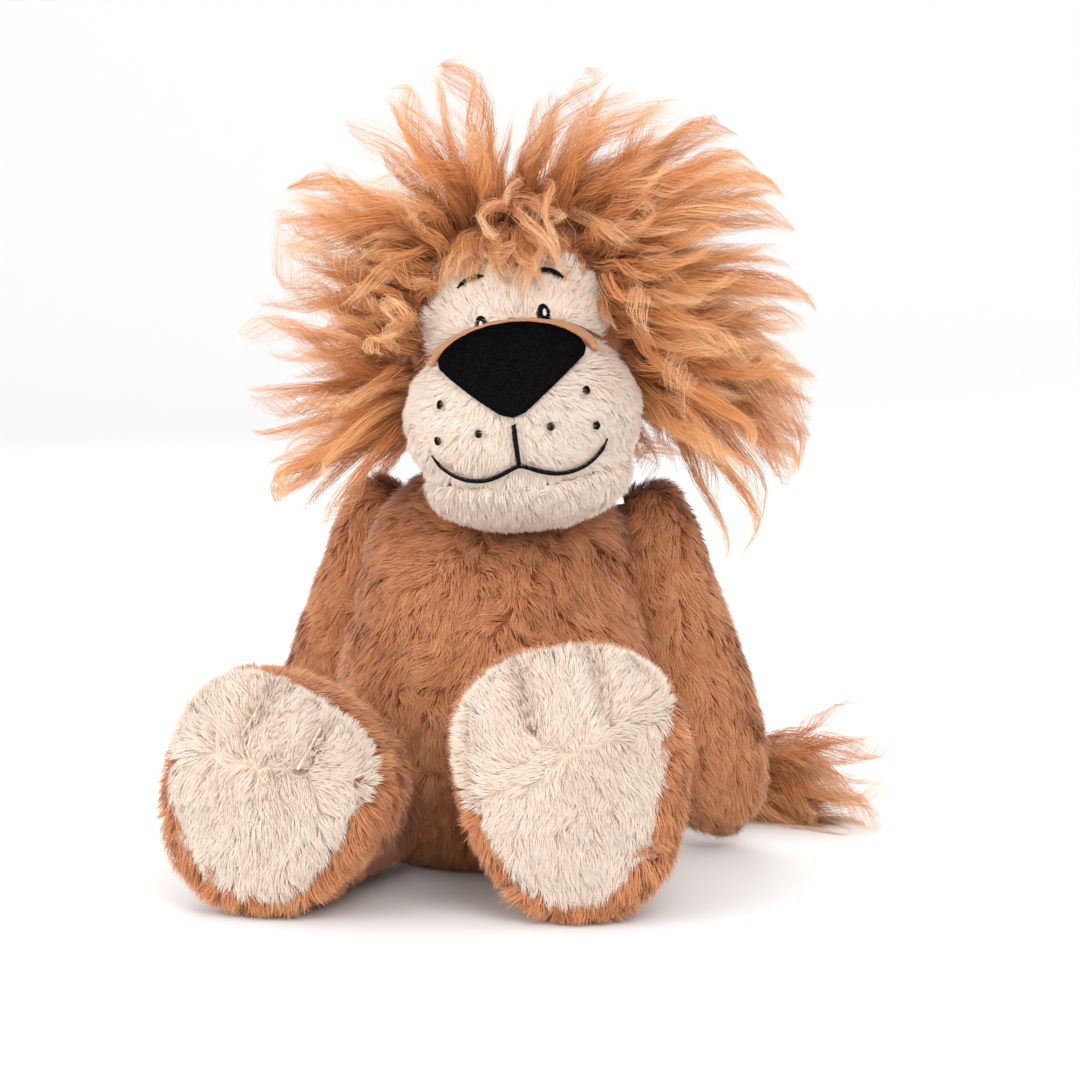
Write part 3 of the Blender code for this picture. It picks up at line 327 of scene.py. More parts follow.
def join(links, *rows):
    """Links from rows of a node, its output, the next node and its input."""
    for start, output, end, entry in rows:
        links.new(start.outputs[output], end.inputs[entry])


def pile_material(name, across, along, tip, roughness, sheen):
    """Pile whose tone follows the strand, darker at its root as painted shade deep in the pile, and drawn
    to the tip's colour.

    The tip is its colour and the shares of it at the strand's middle and end.
    """
    made, nodes, links = new_material(name)
    shader = nodes["Principled BSDF"]
    where = nodes.new("ShaderNodeUVMap")
    where.uv_map = "FurMap"
    split = nodes.new("ShaderNodeSeparateXYZ")
    colour, middle, end = tip
    # The shade ramp darkens each strand towards its root: painted shade deep in the pile.
    tone, shade = ramp(nodes, across), ramp(nodes, along)
    share = ramp(nodes, ((0.15, (0.0,) * 3), (0.6, (middle,) * 3), (1.0, (end,) * 3)))
    pale = nodes.new("ShaderNodeMixRGB")
    mix = nodes.new("ShaderNodeMixRGB")
    mix.blend_type = "MULTIPLY"
    set_sockets(pale, {"Color2": (*colour, 1.0)})
    set_sockets(mix, {"Fac": 1.0})
    join(
        links,
        (where, "UV", split, "Vector"),
        (split, "X", tone, "Fac"),
        (split, "Y", shade, "Fac"),
        (split, "Y", share, "Fac"),
        (share, "Color", pale, "Fac"),
        (tone, "Color", pale, "Color1"),
        (pale, "Color", mix, "Color1"),
        (shade, "Color", mix, "Color2"),
        (mix, "Color", shader, "Base Color"),
    )
    set_sockets(shader, {"Roughness": roughness, "Sheen Weight": sheen, "Sheen Roughness": 0.4})
    set_sockets(shader, {"Specular IOR Level": 0.8 * sheen})
    return made


def cloth_material(name, dark, light, weave, bump, sheen=0.3):
    """Knitted or woven backing: two tones in cells of the weave's size, with its relief."""
    made, nodes, links = new_material(name)
    shader = nodes["Principled BSDF"]
    where = nodes.new("ShaderNodeTexCoord")
    cells = nodes.new("ShaderNodeTexVoronoi")
    drift = nodes.new("ShaderNodeTexNoise")
    both = nodes.new("ShaderNodeMath")
    both.operation = "MULTIPLY"
    colour = ramp(nodes, ((0.05, light), (0.65, dark)))
    relief = nodes.new("ShaderNodeBump")
    relief.invert = True
    set_sockets(cells, {"Scale": 1.0 / weave})
    set_sockets(drift, {"Scale": 0.12 / weave, "Detail": 4.0})
    set_sockets(relief, {"Strength": bump, "Distance": weave})
    join(
        links,
        (where, "Object", cells, "Vector"),
        (where, "Object", drift, "Vector"),
        (cells, "Distance", both, 0),
        (drift, "Fac", both, 1),
        (both, "Value", colour, "Fac"),
        (colour, "Color", shader, "Base Color"),
        (cells, "Distance", relief, "Height"),
        (relief, "Normal", shader, "Normal"),
    )
    set_sockets(shader, {"Roughness": 0.9, "Sheen Weight": sheen, "Specular IOR Level": sheen})
    return made


def thread_material(name, dark, light, gloss):
    """Twisted embroidery thread: fine slanting ply over a slow change of tone."""
    made, nodes, links = new_material(name)
    shader = nodes["Principled BSDF"]
    where = nodes.new("ShaderNodeTexCoord")
    ply = nodes.new("ShaderNodeTexWave")
    patch = nodes.new("ShaderNodeTexNoise")
    colour = ramp(nodes, ((0.3, dark), (0.7, light)))
    relief = nodes.new("ShaderNodeBump")
    set_sockets(ply, {"Scale": 900.0, "Distortion": 1.5})
    set_sockets(patch, {"Scale": 400.0})
    set_sockets(relief, {"Strength": 0.25, "Distance": THREAD})
    join(
        links,
        (where, "Object", ply, "Vector"),
        (where, "Object", patch, "Vector"),
        (patch, "Fac", colour, "Fac"),
        (colour, "Color", shader, "Base Color"),
        (ply, "Fac", relief, "Height"),
        (relief, "Normal", shader, "Normal"),
    )
    set_sockets(shader, {"Roughness": gloss, "Specular IOR Level": 0.3 * (1 - gloss)})
    return made


WHITE = (1.0, 1.0, 1.0)

# Tones across the strands, painted shade along them (darker at the root), tip, roughness and sheen
PILE_LOOKS = {
    "brown_pile": (
        ((0.0, (0.40, 0.130, 0.048)), (0.45, (0.64, 0.250, 0.104)), (1.0, (0.84, 0.43, 0.22))),
        ((0.0, (0.62, 0.52, 0.46)), (0.4, (0.94, 0.92, 0.90)), (1.0, WHITE)),
        ((0.90, 0.56, 0.33), 0.06, 0.36),
        0.85,
        0.25,
    ),
    "cream_pile": (
        ((0.0, (0.74, 0.57, 0.45)), (0.40, (0.89, 0.745, 0.63)), (1.0, (0.95, 0.85, 0.75))),
        ((0.0, (0.88, 0.83, 0.79)), (0.5, (0.98, 0.97, 0.96)), (1.0, WHITE)),
        ((0.96, 0.88, 0.80), 0.15, 0.45),
        0.9,
        0.2,
    ),
    "mane_pile": (
        ((0.0, (0.50, 0.170, 0.048)), (0.45, (0.76, 0.320, 0.108)), (1.0, (0.93, 0.53, 0.24))),
        ((0.0, (0.46, 0.34, 0.26)), (0.35, (0.86, 0.80, 0.74)), (0.65, WHITE), (1.0, WHITE)),
        ((0.96, 0.70, 0.44), 0.02, 0.60),
        0.6,
        0.2,
    ),
    "nose_pile": (
        ((0.0, (0.0015, 0.0015, 0.002)), (1.0, (0.004, 0.0038, 0.0045))),
        ((0.0, (0.6, 0.6, 0.6)), (1.0, WHITE)),
        ((0.006, 0.006, 0.007), 0.05, 0.2),
        1.0,
        0.0,
    ),
    "velour_pile": (
        ((0.0, (0.58, 0.25, 0.10)), (1.0, (0.84, 0.46, 0.23))),
        ((0.0, (0.65, 0.60, 0.56)), (1.0, WHITE)),
        ((0.90, 0.55, 0.30), 0.10, 0.3),
        0.8,
        0.3,
    ),
}

# Dark and light tone, weave, relief and, where it isn't the usual one, sheen
CLOTH_LOOKS = {
    # The brown, cream, mane and velour backings are darker than their pile: their own cloth colour,
    # darkened as painted shade between the strands.
    "brown_skin": ((0.22, 0.072, 0.026), (0.38, 0.135, 0.052), 0.0009, 0.5),
    "cream_skin": ((0.62, 0.51, 0.41), (0.78, 0.68, 0.57), 0.0007, 0.4),
    "mane_skin": ((0.13, 0.045, 0.014), (0.25, 0.090, 0.030), 0.0010, 0.5),
    "black_skin": ((0.003, 0.003, 0.004), (0.008, 0.008, 0.009), 0.0004, 0.4, 0.0),
    "velour_skin": ((0.40, 0.16, 0.06), (0.62, 0.29, 0.13), 0.0004, 0.4),
    "lining": ((0.22, 0.12, 0.06), (0.36, 0.22, 0.12), 0.0006, 0.6),
}

# Dark and light tone, and roughness
THREAD_LOOKS = {
    "black_thread": ((0.003, 0.003, 0.003), (0.010, 0.010, 0.011), 0.8),
    "white_thread": ((0.72, 0.72, 0.70), (0.90, 0.90, 0.88), 0.45),
    "brown_thread": ((0.20, 0.08, 0.03), (0.36, 0.16, 0.07), 0.5),
    "cream_thread": ((0.55, 0.44, 0.34), (0.78, 0.68, 0.57), 0.5),
}

MATERIALS = {name: pile_material(name, *looks) for name, looks in PILE_LOOKS.items()}
MATERIALS |= {name: cloth_material(name, *looks) for name, looks in CLOTH_LOOKS.items()}
MATERIALS |= {name: thread_material(f"{name}_finish", *looks) for name, looks in THREAD_LOOKS.items()}


# Meshes and surfaces


def placed(name, data):
    """A new object in the scene."""
    made = bpy.data.objects.new(name, data)
    bpy.context.scene.collection.objects.link(made)
    return made


def add_object(name, mesh, material, body):
    obj = placed(name, mesh)
    mesh.materials.clear()
    mesh.materials.append(MATERIALS[material])
    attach(obj, body)
    return obj


def node_mesh(node):
    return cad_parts[node].data


def remeshed(mesh, voxel, rounds):
    """A smooth closed copy of a mesh, with even faces of about the voxel's size."""
    work = placed("work", mesh.copy())
    remesh = work.modifiers.new("even", "REMESH")
    remesh.mode = "VOXEL"
    remesh.voxel_size = voxel
    remesh.use_smooth_shade = True
    if rounds:
        smooth = work.modifiers.new("soft", "SMOOTH")
        smooth.factor = 0.5
        smooth.iterations = rounds
    graph = bpy.context.evaluated_depsgraph_get()
    made = bpy.data.meshes.new_from_object(work.evaluated_get(graph))
    bpy.data.objects.remove(work)
    return made


def mesh_arrays(mesh):
    """A mesh's points and vertex normals."""
    points = np.empty((len(mesh.vertices), 3))
    normals = np.empty((len(mesh.vertices), 3))
    mesh.vertices.foreach_get("co", points.ravel())
    mesh.vertex_normals.foreach_get("vector", normals.ravel())
    return points, normals


def set_points(mesh, points):
    mesh.vertices.foreach_set("co", points.ravel())
    mesh.update()


def make_skin(name, node, body, cloth, shape=None, near=()):
    """The sewn cloth under the pile: the node's form, drawn in by the pile's height.

    Beside the near nodes, which it touches, the cloth stays where the solid has it.
    """
    voxel, rounds, inset = SKINS[node.removesuffix("_left").removesuffix("_right")]
    _, backing, slot = CLOTHS[cloth]
    mesh = remeshed(node_mesh(node), voxel, rounds)
    points, normals = mesh_arrays(mesh)
    beside = distance_to(points, near, CREASE_REACH) / CREASE_REACH
    if shape is not None:
        points += shape(points, normals)
    points -= normals * (inset * (0.10 + 0.90 * beside**2 * (3 - 2 * beside)))[:, None]
    points[:, 2] = np.maximum(points[:, 2], FLOOR_GAP)
    set_points(mesh, points)
    mesh.name = name
    skin = add_object(name, mesh, backing, body)
    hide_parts(node)
    return skin


def triangles_of(mesh):
    """Corner points and corner normals of a mesh's triangles."""
    mesh.calc_loop_triangles()
    corners = np.empty(len(mesh.loop_triangles) * 3, np.int32)
    mesh.loop_triangles.foreach_get("vertices", corners)
    corners = corners.reshape(-1, 3)
    points, normals = mesh_arrays(mesh)
    return points[corners], normals[corners]


def scatter(mesh, density, rng):
    """Points spread evenly over a mesh, with their normals."""
    points, normals = triangles_of(mesh)
    areas = np.linalg.norm(np.cross(points[:, 1] - points[:, 0], points[:, 2] - points[:, 0]), axis=1) / 2
    count = int(areas.sum() * density)
    pick = rng.choice(len(areas), count, p=areas / areas.sum())
    a, b = np.sqrt(rng.random(count)), rng.random(count)
    weights = np.stack((1 - a, a * (1 - b), a * b), axis=1)[..., None]
    return (points[pick] * weights).sum(1), unit((normals[pick] * weights).sum(1))


def cover_of(nodes):
    """A search tree over the surfaces of those nodes."""
    points, faces = [], []
    for node in nodes:
        mesh = node_mesh(node)
        start = len(points)
        points += [v.co[:] for v in mesh.vertices]
        faces += [tuple(start + i for i in p.vertices) for p in mesh.polygons]
    return BVHTree.FromPolygons(points, faces)


def distance_to(points, nodes, most):
    """How far the points are from the surfaces of those nodes, at most the given distance."""
    if not nodes:
        return np.full(len(points), most)
    cover = cover_of(nodes)
    found = [cover.find_nearest(Vector(p), most)[3] for p in points]
    return np.array([most if f is None else f for f in found])


def uncovered(points, normals, nodes, reach):
    """Which points have none of the nodes' surfaces within reach above them."""
    if not nodes:
        return np.ones(len(points), bool)
    cover = cover_of(nodes)
    return np.array(
        [cover.ray_cast(Vector(p), Vector(n), reach)[0] is None for p, n in zip(points, normals)]
    )


def nearest(places, points):
    """The number of, and the distance to, the nearest of the places from each point."""
    tree = KDTree(len(places))
    for k, place in enumerate(places):
        tree.insert(place, k)
    tree.balance()
    found = [tree.find(p)[1:] for p in points]
    return np.array([f[0] for f in found]), np.array([f[1] for f in found])


def strip_mesh(name, left, right, tips, normals, tones):
    """Tapering strands, each a strip of faces from its root to a pointed tip."""
    count, steps = left.shape[:2]
    each = 2 * steps + 1
    points = np.empty((count, each, 3), np.float32)
    points[:, 0:-1:2] = left
    points[:, 1::2] = right
    points[:, -1] = tips
    points[..., 2] = np.maximum(points[..., 2], FLOOR_GAP)
    corners = []
    for k in range(steps - 1):
        corners += [2 * k, 2 * k + 1, 2 * k + 3, 2 * k + 2]
    corners = np.array([*corners, 2 * steps - 2, 2 * steps - 1, 2 * steps])
    starts = 4 * np.arange(steps)
    loops = (np.arange(count)[:, None] * each + corners).ravel()
    mesh = bpy.data.meshes.new(name)
    mesh.vertices.add(count * each)
    mesh.vertices.foreach_set("co", points.ravel())
    mesh.loops.add(len(loops))
    mesh.loops.foreach_set("vertex_index", loops)
    mesh.polygons.add(count * steps)
    mesh.polygons.foreach_set("loop_start", (np.arange(count)[:, None] * len(corners) + starts).ravel())
    column = np.clip((tones * TONES).astype(int), 0, TONES - 1)
    across = np.where(corners % 2 == 0, 0.2, 0.8)
    across[-1] = 0.5
    uv = np.empty((count, len(corners), 2), np.float32)
    uv[..., 0] = (column[:, None] + across) / TONES
    uv[..., 1] = np.clip((corners // 2) / steps, 0.02, 0.98)
    for layer in ("FurMap", "OFBake"):
        mesh.uv_layers.new(name=layer).uv.foreach_set("vector", uv.ravel())
    mesh.update(calc_edges=True)
    if normals is not None:
        rows = np.repeat(np.arange(steps + 1), 2)[:-1]
        mesh.normals_split_custom_set_from_vertices(normals[:, rows].reshape(-1, 3))
    return mesh


def add_strips(name, strips, material, body):
    """The strands as one or more objects, none with more faces than an export keeps."""
    left, right, tips, normals, tones = strips
    most = STRIP_FACES // (2 * left.shape[1] - 1)
    made = []
    for number, start in enumerate(range(0, len(tones), most)):
        part = slice(start, start + most)
        label = name if len(tones) <= most else f"{name}_{number + 1}"
        own_normals = None if normals is None else normals[part]
        mesh = strip_mesh(label, left[part], right[part], tips[part], own_normals, tones[part])
        made.append(add_object(label, mesh, material, body))
    return made


# Short pile


def pile_strips(points, normals, comb, style, seed, shade, length_shares):
    """Strands of short pile that lean along the comb and draw together in small clumps."""
    rng = np.random.default_rng(seed)
    count = len(points)
    clumps = max(1, int(count / style["density"] / style["clump"] ** 2))
    centres = rng.choice(count, min(clumps, count), replace=False)
    own, away = nearest(points[centres], points)
    middle, up = points[centres], normals[centres]
    along = tangent_of(comb(middle, up), up)
    swirl = 0.40 * ripple(middle, 0.034, seed + 1) + 0.30 * ripple(middle, 0.013, seed + 3)
    along = turned(along, up, style["swirl"] * (swirl + rng.normal(0, 0.22, len(middle))))
    tall = rng.uniform(0.88, 1.10, len(middle))
    lift, bend = math.radians(style["lift"]), math.radians(style["bend"])
    lift = lift + 0.10 * ripple(middle, 0.016, seed + 4) + rng.normal(0, 0.05, len(middle))
    length = style["length"] * tall[own] * rng.uniform(0.72, 1.12, count) * length_shares
    lean = tangent_of(along[own], normals)
    lean = turned(lean, normals, rng.normal(0, 0.22, count))
    rise = (lift[own] + rng.normal(0, 0.13, count))[:, None]
    low = np.cos(rise) * lean + np.sin(rise) * normals
    rise = rise - bend
    high = np.cos(rise) * lean + np.sin(rise) * normals
    mid = points + low * length[:, None] * 0.5
    tip = mid + high * length[:, None] * 0.5
    clump_rise = lift[:, None] - bend / 2
    reach = np.cos(clump_rise) * along + np.sin(clump_rise) * up
    goal = middle + reach * (style["length"] * tall)[:, None]
    pull = style["pull"] * rng.uniform(0.5, 1.1, count)[:, None]
    tip += (goal[own] - tip) * pull
    mid += ((goal[own] + middle[own]) / 2 - mid) * pull * 0.45
    roll = rng.uniform(-0.7, 0.7, count)
    side = turned(unit(np.cross(low, normals)), low, roll)
    wide = style["width"] * rng.uniform(0.75, 1.2, count)[:, None]
    left = np.stack((points - side * wide / 2, mid - side * wide * 0.42), axis=1)
    right = np.stack((points + side * wide / 2, mid + side * wide * 0.42), axis=1)
    beside = (points - middle[own]) / style["clump"]
    facing = np.stack(
        (
            unit(normals + PILE_UP + style["round"] * 0.7 * beside),
            unit(normals + PILE_UP + style["round"] * beside + 0.4 * style["tilt"] * low),
            unit(normals + PILE_UP + style["round"] * 1.2 * beside + style["tilt"] * high),
        ),
        axis=1,
    )
    mottle = 0.07 * rng.normal(size=len(middle))[own] + 0.10 * rng.normal(size=count)
    mottle += 0.06 * ripple(points, 0.035, seed + 2) + 0.05 * ripple(points, 0.007, seed + 5)
    # Strands far from their clump's middle are darker: painted shade in the gaps between clumps.
    mottle -= 0.07 * np.clip(away / style["clump"], 0, 1.5)
    tones = 0.5 + style["mottle"] * mottle
    # Each piece's shade function shifts its tone and adds its painted shade.
    tones += shade(points)
    return left, right, tip, facing, np.clip(tones, 0.0, 0.999)


def no_shade(points):
    return np.zeros(len(points))


def grow_pile(name, skin, covers, comb, style, seed, cloth, body, shade=no_shade, clear=None, pick=None):
    """Pile on a skin where pick has it, but not under its neighbours or on the clear lines."""
    rng = np.random.default_rng(seed)
    points, normals = scatter(skin.data, style["density"], rng)
    if pick is not None:
        keep = pick(points)
        points, normals = points[keep], normals[keep]
    keep = uncovered(points, normals, covers, COVER_REACH)
    keep &= ~((normals[:, 2] < -0.9) & (points[:, 2] < 0.004))
    points, normals = points[keep], normals[keep]
    beside = distance_to(points, covers, style["length"])
    length_shares = np.clip(style["contact"] + 0.6 * beside / style["length"], 0.0, 1.0)
    if clear is not None:
        places, free = clear
        _, distance = nearest(places, points)
        length_shares *= np.clip((distance / free - 1.0) * 0.25 + 0.25, 0.25, 1.0)
        keep = distance > free
        points, normals, length_shares = points[keep], normals[keep], length_shares[keep]
    strips = pile_strips(points, normals, comb, style, seed, shade, length_shares)
    material, _, slot = CLOTHS[cloth]
    return add_strips(name, strips, material, body)


def combed(*ways):
    """A comb that adds up fixed directions and pushes away from places, each with its weight.

    A way is (weight, direction) or (weight, place, reach), whose push fades beyond the reach.
    """

    def comb(points, normals):
        found = np.zeros(points.shape)
        for weight, vector, *reach in ways:
            if not reach:
                found += weight * np.array(vector)
                continue
            apart = points - np.array(vector)
            far = np.linalg.norm(apart, axis=1, keepdims=True)
            found += weight * unit(apart) * fading(far, reach[0])
        return found

    return comb


# Stitches


def tube_faces(rings, sides):
    """Face corners of capped tubes, each of rings sections with sides points."""
    faces = []
    for k in range(rings - 1):
        for i in range(sides):
            j = (i + 1) % sides
            a, b = k * sides, (k + 1) * sides
            faces.append((a + i, a + j, b + j, b + i))
    faces.append(tuple(reversed(range(sides))))
    faces.append(tuple((rings - 1) * sides + i for i in range(sides)))
    return faces


def stitch(start, end, out, height, radius):
    """Points of one arched stitch from start to end over the cloth."""
    along = unit(end - start)
    side = np.cross(out, along)
    points = []
    for k in range(STITCH_RINGS):
        t = k / (STITCH_RINGS - 1)
        middle = start + (end - start) * t + out * height * math.sin(math.pi * t) ** 0.6
        thin = radius * (0.75 + 0.25 * math.sin(math.pi * t))
        for i in range(STITCH_SIDES):
            turn = 2 * math.pi * i / STITCH_SIDES
            points.append(middle + thin * (side * math.cos(turn) + out * math.sin(turn)))
    return points, tube_faces(STITCH_RINGS, STITCH_SIDES)


def row_at(values, run, at):
    """The row of values at a place along the run."""
    return np.array([np.interp(at, run, values[:, i]) for i in range(3)])


def satin(node, line, normals, widths, slant, seed, thread="black_thread", height=STITCH_HEIGHT):
    """Satin stitch on the head in a node's place: threads laid side by side across a line."""
    rng = np.random.default_rng(seed)
    gaps = np.linalg.norm(np.diff(line, axis=0), axis=1)
    run = np.concatenate(([0.0], np.cumsum(gaps)))
    count = max(3, int(run[-1] / STITCH_PITCH))
    points, faces = [], []
    for k in range(count):
        at = run[-1] * (k + 0.5) / count
        middle, out = row_at(line, run, at), unit(row_at(normals, run, at))
        ahead = unit(row_at(line, run, at + STITCH_PITCH) - middle)
        if k == count - 1:
            ahead = unit(line[-1] - line[-2])
        across = unit(np.cross(ahead, out))
        lean = slant + rng.normal(0, 0.05)
        across = across * math.cos(lean) + ahead * math.sin(lean)
        half = np.interp(at, run, widths) / 2 * rng.uniform(0.92, 1.08)
        rise = height * min(1.0, 0.35 + half / MOUTH_WIDTH)
        radius = THREAD * rng.uniform(0.9, 1.15)
        own, made = stitch(middle - across * half, middle + across * half, out, rise, radius)
        faces += [tuple(len(points) + i for i in face) for face in made]
        points += own
    name = node.removesuffix("_stitch") + "_satin"
    mesh = bpy.data.meshes.new(name)
    mesh.from_pydata([tuple(p) for p in points], [], faces)
    mesh.shade_smooth()
    piece = add_object(name, mesh, thread, "head")
    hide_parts(node)


def smooth_line(points, steps):
    """A Catmull-Rom line through the points."""
    points = np.asarray(points, float)
    ends = np.vstack((2 * points[0] - points[1], points, 2 * points[-1] - points[-2]))
    line = []
    for a, b, c, d in zip(ends, ends[1:], ends[2:], ends[3:]):
        for k in range(steps):
            t = k / steps
            cubic = (3 * b - 3 * c + d - a) * t**3
            line.append(0.5 * (2 * b + (c - a) * t + (2 * a - 5 * b + 4 * c - d) * t**2 + cubic))
    return np.array([*line, points[-1]])


def on_muzzle(shares, lift):
    found = [muzzle_front(u, v, lift) for u, v in shares]
    return [np.array(rows) for rows in zip(*found)]


def on_face(places, lift):
    found = [face_front(u, v, lift) for u, v in places]
    return [np.array(rows) for rows in zip(*found)]


def mouth_lines():
    """The smile and the philtrum as dense lines of shares on the muzzle."""
    half = np.array(SMILE_SHARES)
    whole = np.vstack((half[:0:-1] * (-1, 1), half))
    return smooth_line(whole, 8), smooth_line(PHILTRUM_SHARES, 8)


def pad_line(middle, halves):
    """The upright middle line of an elliptical pad, and the pad's width along it."""
    turns = np.linspace(-0.96, 0.96, 11)
    line = [(middle[0], middle[1] + halves[1] * t) for t in turns]
    return line, 2 * halves[0] * np.sqrt(1 - turns**2)


def brow_line(sign):
    line = []
    for share in np.linspace(-1, 1, 9):
        along = share * BROW_HALF_LENGTH
        arch = BROW_ARCH * (1 - share**2)
        across = along * math.cos(BROW_SLOPE) + arch * math.sin(BROW_SLOPE)
        rise = arch * math.cos(BROW_SLOPE) - along * math.sin(BROW_SLOPE)
        line.append((sign * (BROW_PLACE[0] + across), BROW_PLACE[1] + rise))
    return line


def tapered(line, steps, least):
    """Shares of the full width along a line, which narrow over some steps to both ends."""
    place = np.arange(len(line))
    return np.clip(np.minimum(place, place[::-1]) / steps, least, 1)


def make_embroidery():
    smile, philtrum = mouth_lines()
    line, out = on_muzzle(smile, MUZZLE_LIFT)
    satin("mouth_stitch", line, out, MOUTH_WIDTH * tapered(line, 6, 0.35), 0.35, 11)
    line, out = on_muzzle(philtrum, MUZZLE_LIFT)
    satin("philtrum_stitch", line, out, np.full(len(line), MOUTH_WIDTH), 0.35, 12)
    for number, (side, sign) in enumerate(SIDES):
        for place, (across, rise) in DOT_SHARES.items():
            halves = (DOT_SIZE / 2 / MUZZLE_HALVES[0], DOT_SIZE / 2 / MUZZLE_HALVES[2])
            pad, widths = pad_line((sign * across, rise), halves)
            line, out = on_muzzle(pad, MUZZLE_LIFT)
            satin(f"whisker_dot_{place}_{side}", line, out, widths * MUZZLE_HALVES[0], 0.0, 20 + number)
        middle = (sign * EYE_PLACE[0], EYE_PLACE[1] - EYE_SINK[side])
        pad, widths = pad_line(middle, EYE_HALVES)
        satin(f"eye_{side}", *on_face(pad, EYE_LIFT), widths, 0.0, 30 + number)
        glint = (middle[0] + GLINT_PLACE[0], middle[1] + GLINT_PLACE[1])
        pad, widths = pad_line(glint, GLINT_HALVES)
        line, out = on_face(pad, GLINT_LIFT)
        satin(f"eye_glint_{side}", line, out, widths, 0.0, 40, "white_thread", GLINT_HEIGHT)
        line, out = on_face(smooth_line(brow_line(sign), 3), BROW_LIFT)
        satin(f"eyebrow_{side}", line, out, BROW_WIDTH * tapered(line, 5, 0.4), 0.3, 50)


def embroidered_places():
    """Points along all the embroidery, which the face's pile keeps clear of."""
    smile, philtrum = mouth_lines()
    places = [*on_muzzle(smile, 0.0)[0], *on_muzzle(philtrum, 0.0)[0]]
    for _, sign in SIDES:
        places += [*on_muzzle([(sign * u, v) for u, v in DOT_SHARES.values()], 0.0)[0]]
        places += [*on_face(pad_line((sign * EYE_PLACE[0], EYE_PLACE[1]), EYE_HALVES)[0], 0.0)[0]]
        places += [*on_face(brow_line(sign), 0.0)[0]]
    return np.array(places)


# Long locks


def head_way(azimuth, elevation):
    """Unit vectors in the head's frame, azimuth from the front to the lion's left."""
    flat = np.cos(elevation)
    return np.stack((flat * np.sin(azimuth), -flat * np.cos(azimuth), np.sin(elevation)), axis=-1)


def mane_guides(rng):
    """Where each mane lock leaves the head, how long it is and how it bends."""
    number = np.arange(int(MANE_LOCKS / MANE_KEPT_SHARE))
    height = 1 - 2 * (number + 0.5) / len(number)
    azimuth = (number * math.pi * (3 - math.sqrt(5)) + math.pi) % (2 * math.pi) - math.pi
    azimuth += rng.normal(0, 0.05, len(number))
    elevation = np.arcsin(height) + rng.normal(0, 0.03, len(number))
    low = np.where(np.abs(azimuth) > BACK_EDGE[0], BACK_FOOT, CHEEK_FOOT)
    share = rising(elevation, MANE_LOW, MANE_SIDE_TOP - MANE_LOW)
    front = FRONT_EDGE[0] + (FRONT_EDGE[1] - FRONT_EDGE[0]) * share
    front = front - LEFT_FRONT_SHIFT * (azimuth > 0) * (1 - share)
    ringed = (np.abs(azimuth) > front) & (elevation > low)
    airy = (azimuth < AIRY_AZIMUTHS[1]) & (azimuth > AIRY_AZIMUTHS[0]) & (elevation < MANE_BROW)
    ringed &= ~(airy & (rng.random(len(azimuth)) < AIRY_SHARE))
    keep = ringed | (elevation > MANE_BROW)
    azimuth, elevation, front = azimuth[keep], elevation[keep], front[keep]
    brow = (elevation < MANE_FRONT_TOP) & (np.abs(azimuth) < BROW_HALF_ANGLE)
    more = np.repeat(np.flatnonzero(brow), 2)
    azimuth = np.append(azimuth, azimuth[more] + rng.normal(0, 0.06, len(more)))
    elevation = np.append(elevation, elevation[more] + rng.normal(0, 0.04, len(more)))
    brow, front = np.append(brow, brow[more]), np.append(front, front[more])
    back = rising(np.abs(azimuth), BACK_START, BACK_BAND)
    crown = rising(elevation, CROWN_START, CROWN_BAND)
    length = MANE_LENGTHS["side"] * (1 - crown) + MANE_LENGTHS["crown"] * crown
    length = length * (1 - back) + MANE_LENGTHS["back"] * back
    high = rising(elevation, MANE_BROW, MANE_FRONT_TOP - MANE_BROW)
    length = np.where(brow, MANE_LENGTHS["brow"] * (0.85 + 0.9 * high), length)
    own = 0.52 + 0.70 * rng.random(len(azimuth)) ** 2.0
    fringe = 0.3 + 0.7 * own + 0.5 * fading(azimuth - 0.07, 0.15) - 0.25 * fading(azimuth + 0.38, 0.25)
    length = length * np.where(brow, fringe, own + 0.06 * crown)
    edge = np.clip(1 - (np.abs(azimuth) - front) / EDGE_BAND, 0, 1)
    return azimuth, elevation, length, brow, back, crown, edge * (elevation < MANE_BROW)


def mane_node(azimuth, elevation, brow):
    """The name of the sewn panel that each lock's root is on."""
    side = np.where(azimuth > 0, "left", "right")
    share = (elevation - MANE_LOW) / (MANE_SIDE_TOP - MANE_LOW)
    edge = BACK_EDGE[0] + (BACK_EDGE[1] - BACK_EDGE[0]) * share
    part = np.where(np.abs(azimuth) > edge, "back", "cheek")
    part = np.where(elevation > MANE_SIDE_TOP, "crown", part)
    found = np.char.add(np.char.add("mane_", part), np.char.add("_", side))
    front = brow & (elevation <= MANE_SIDE_TOP) & (np.abs(azimuth) < FORELOCK_HALF_ANGLE)
    return np.where(front, "mane_forelock", found)


def held(points, middle, free, most):
    """The points drawn in smoothly so that none is farther than most from the middle."""
    apart = points - middle
    far = np.maximum(np.linalg.norm(apart, axis=-1, keepdims=True), 1e-9)
    spare = most - free
    drawn = free + spare * np.tanh(np.maximum(far - free, 0) / spare)
    return middle + apart * np.where(far > free, drawn / far, 1.0)


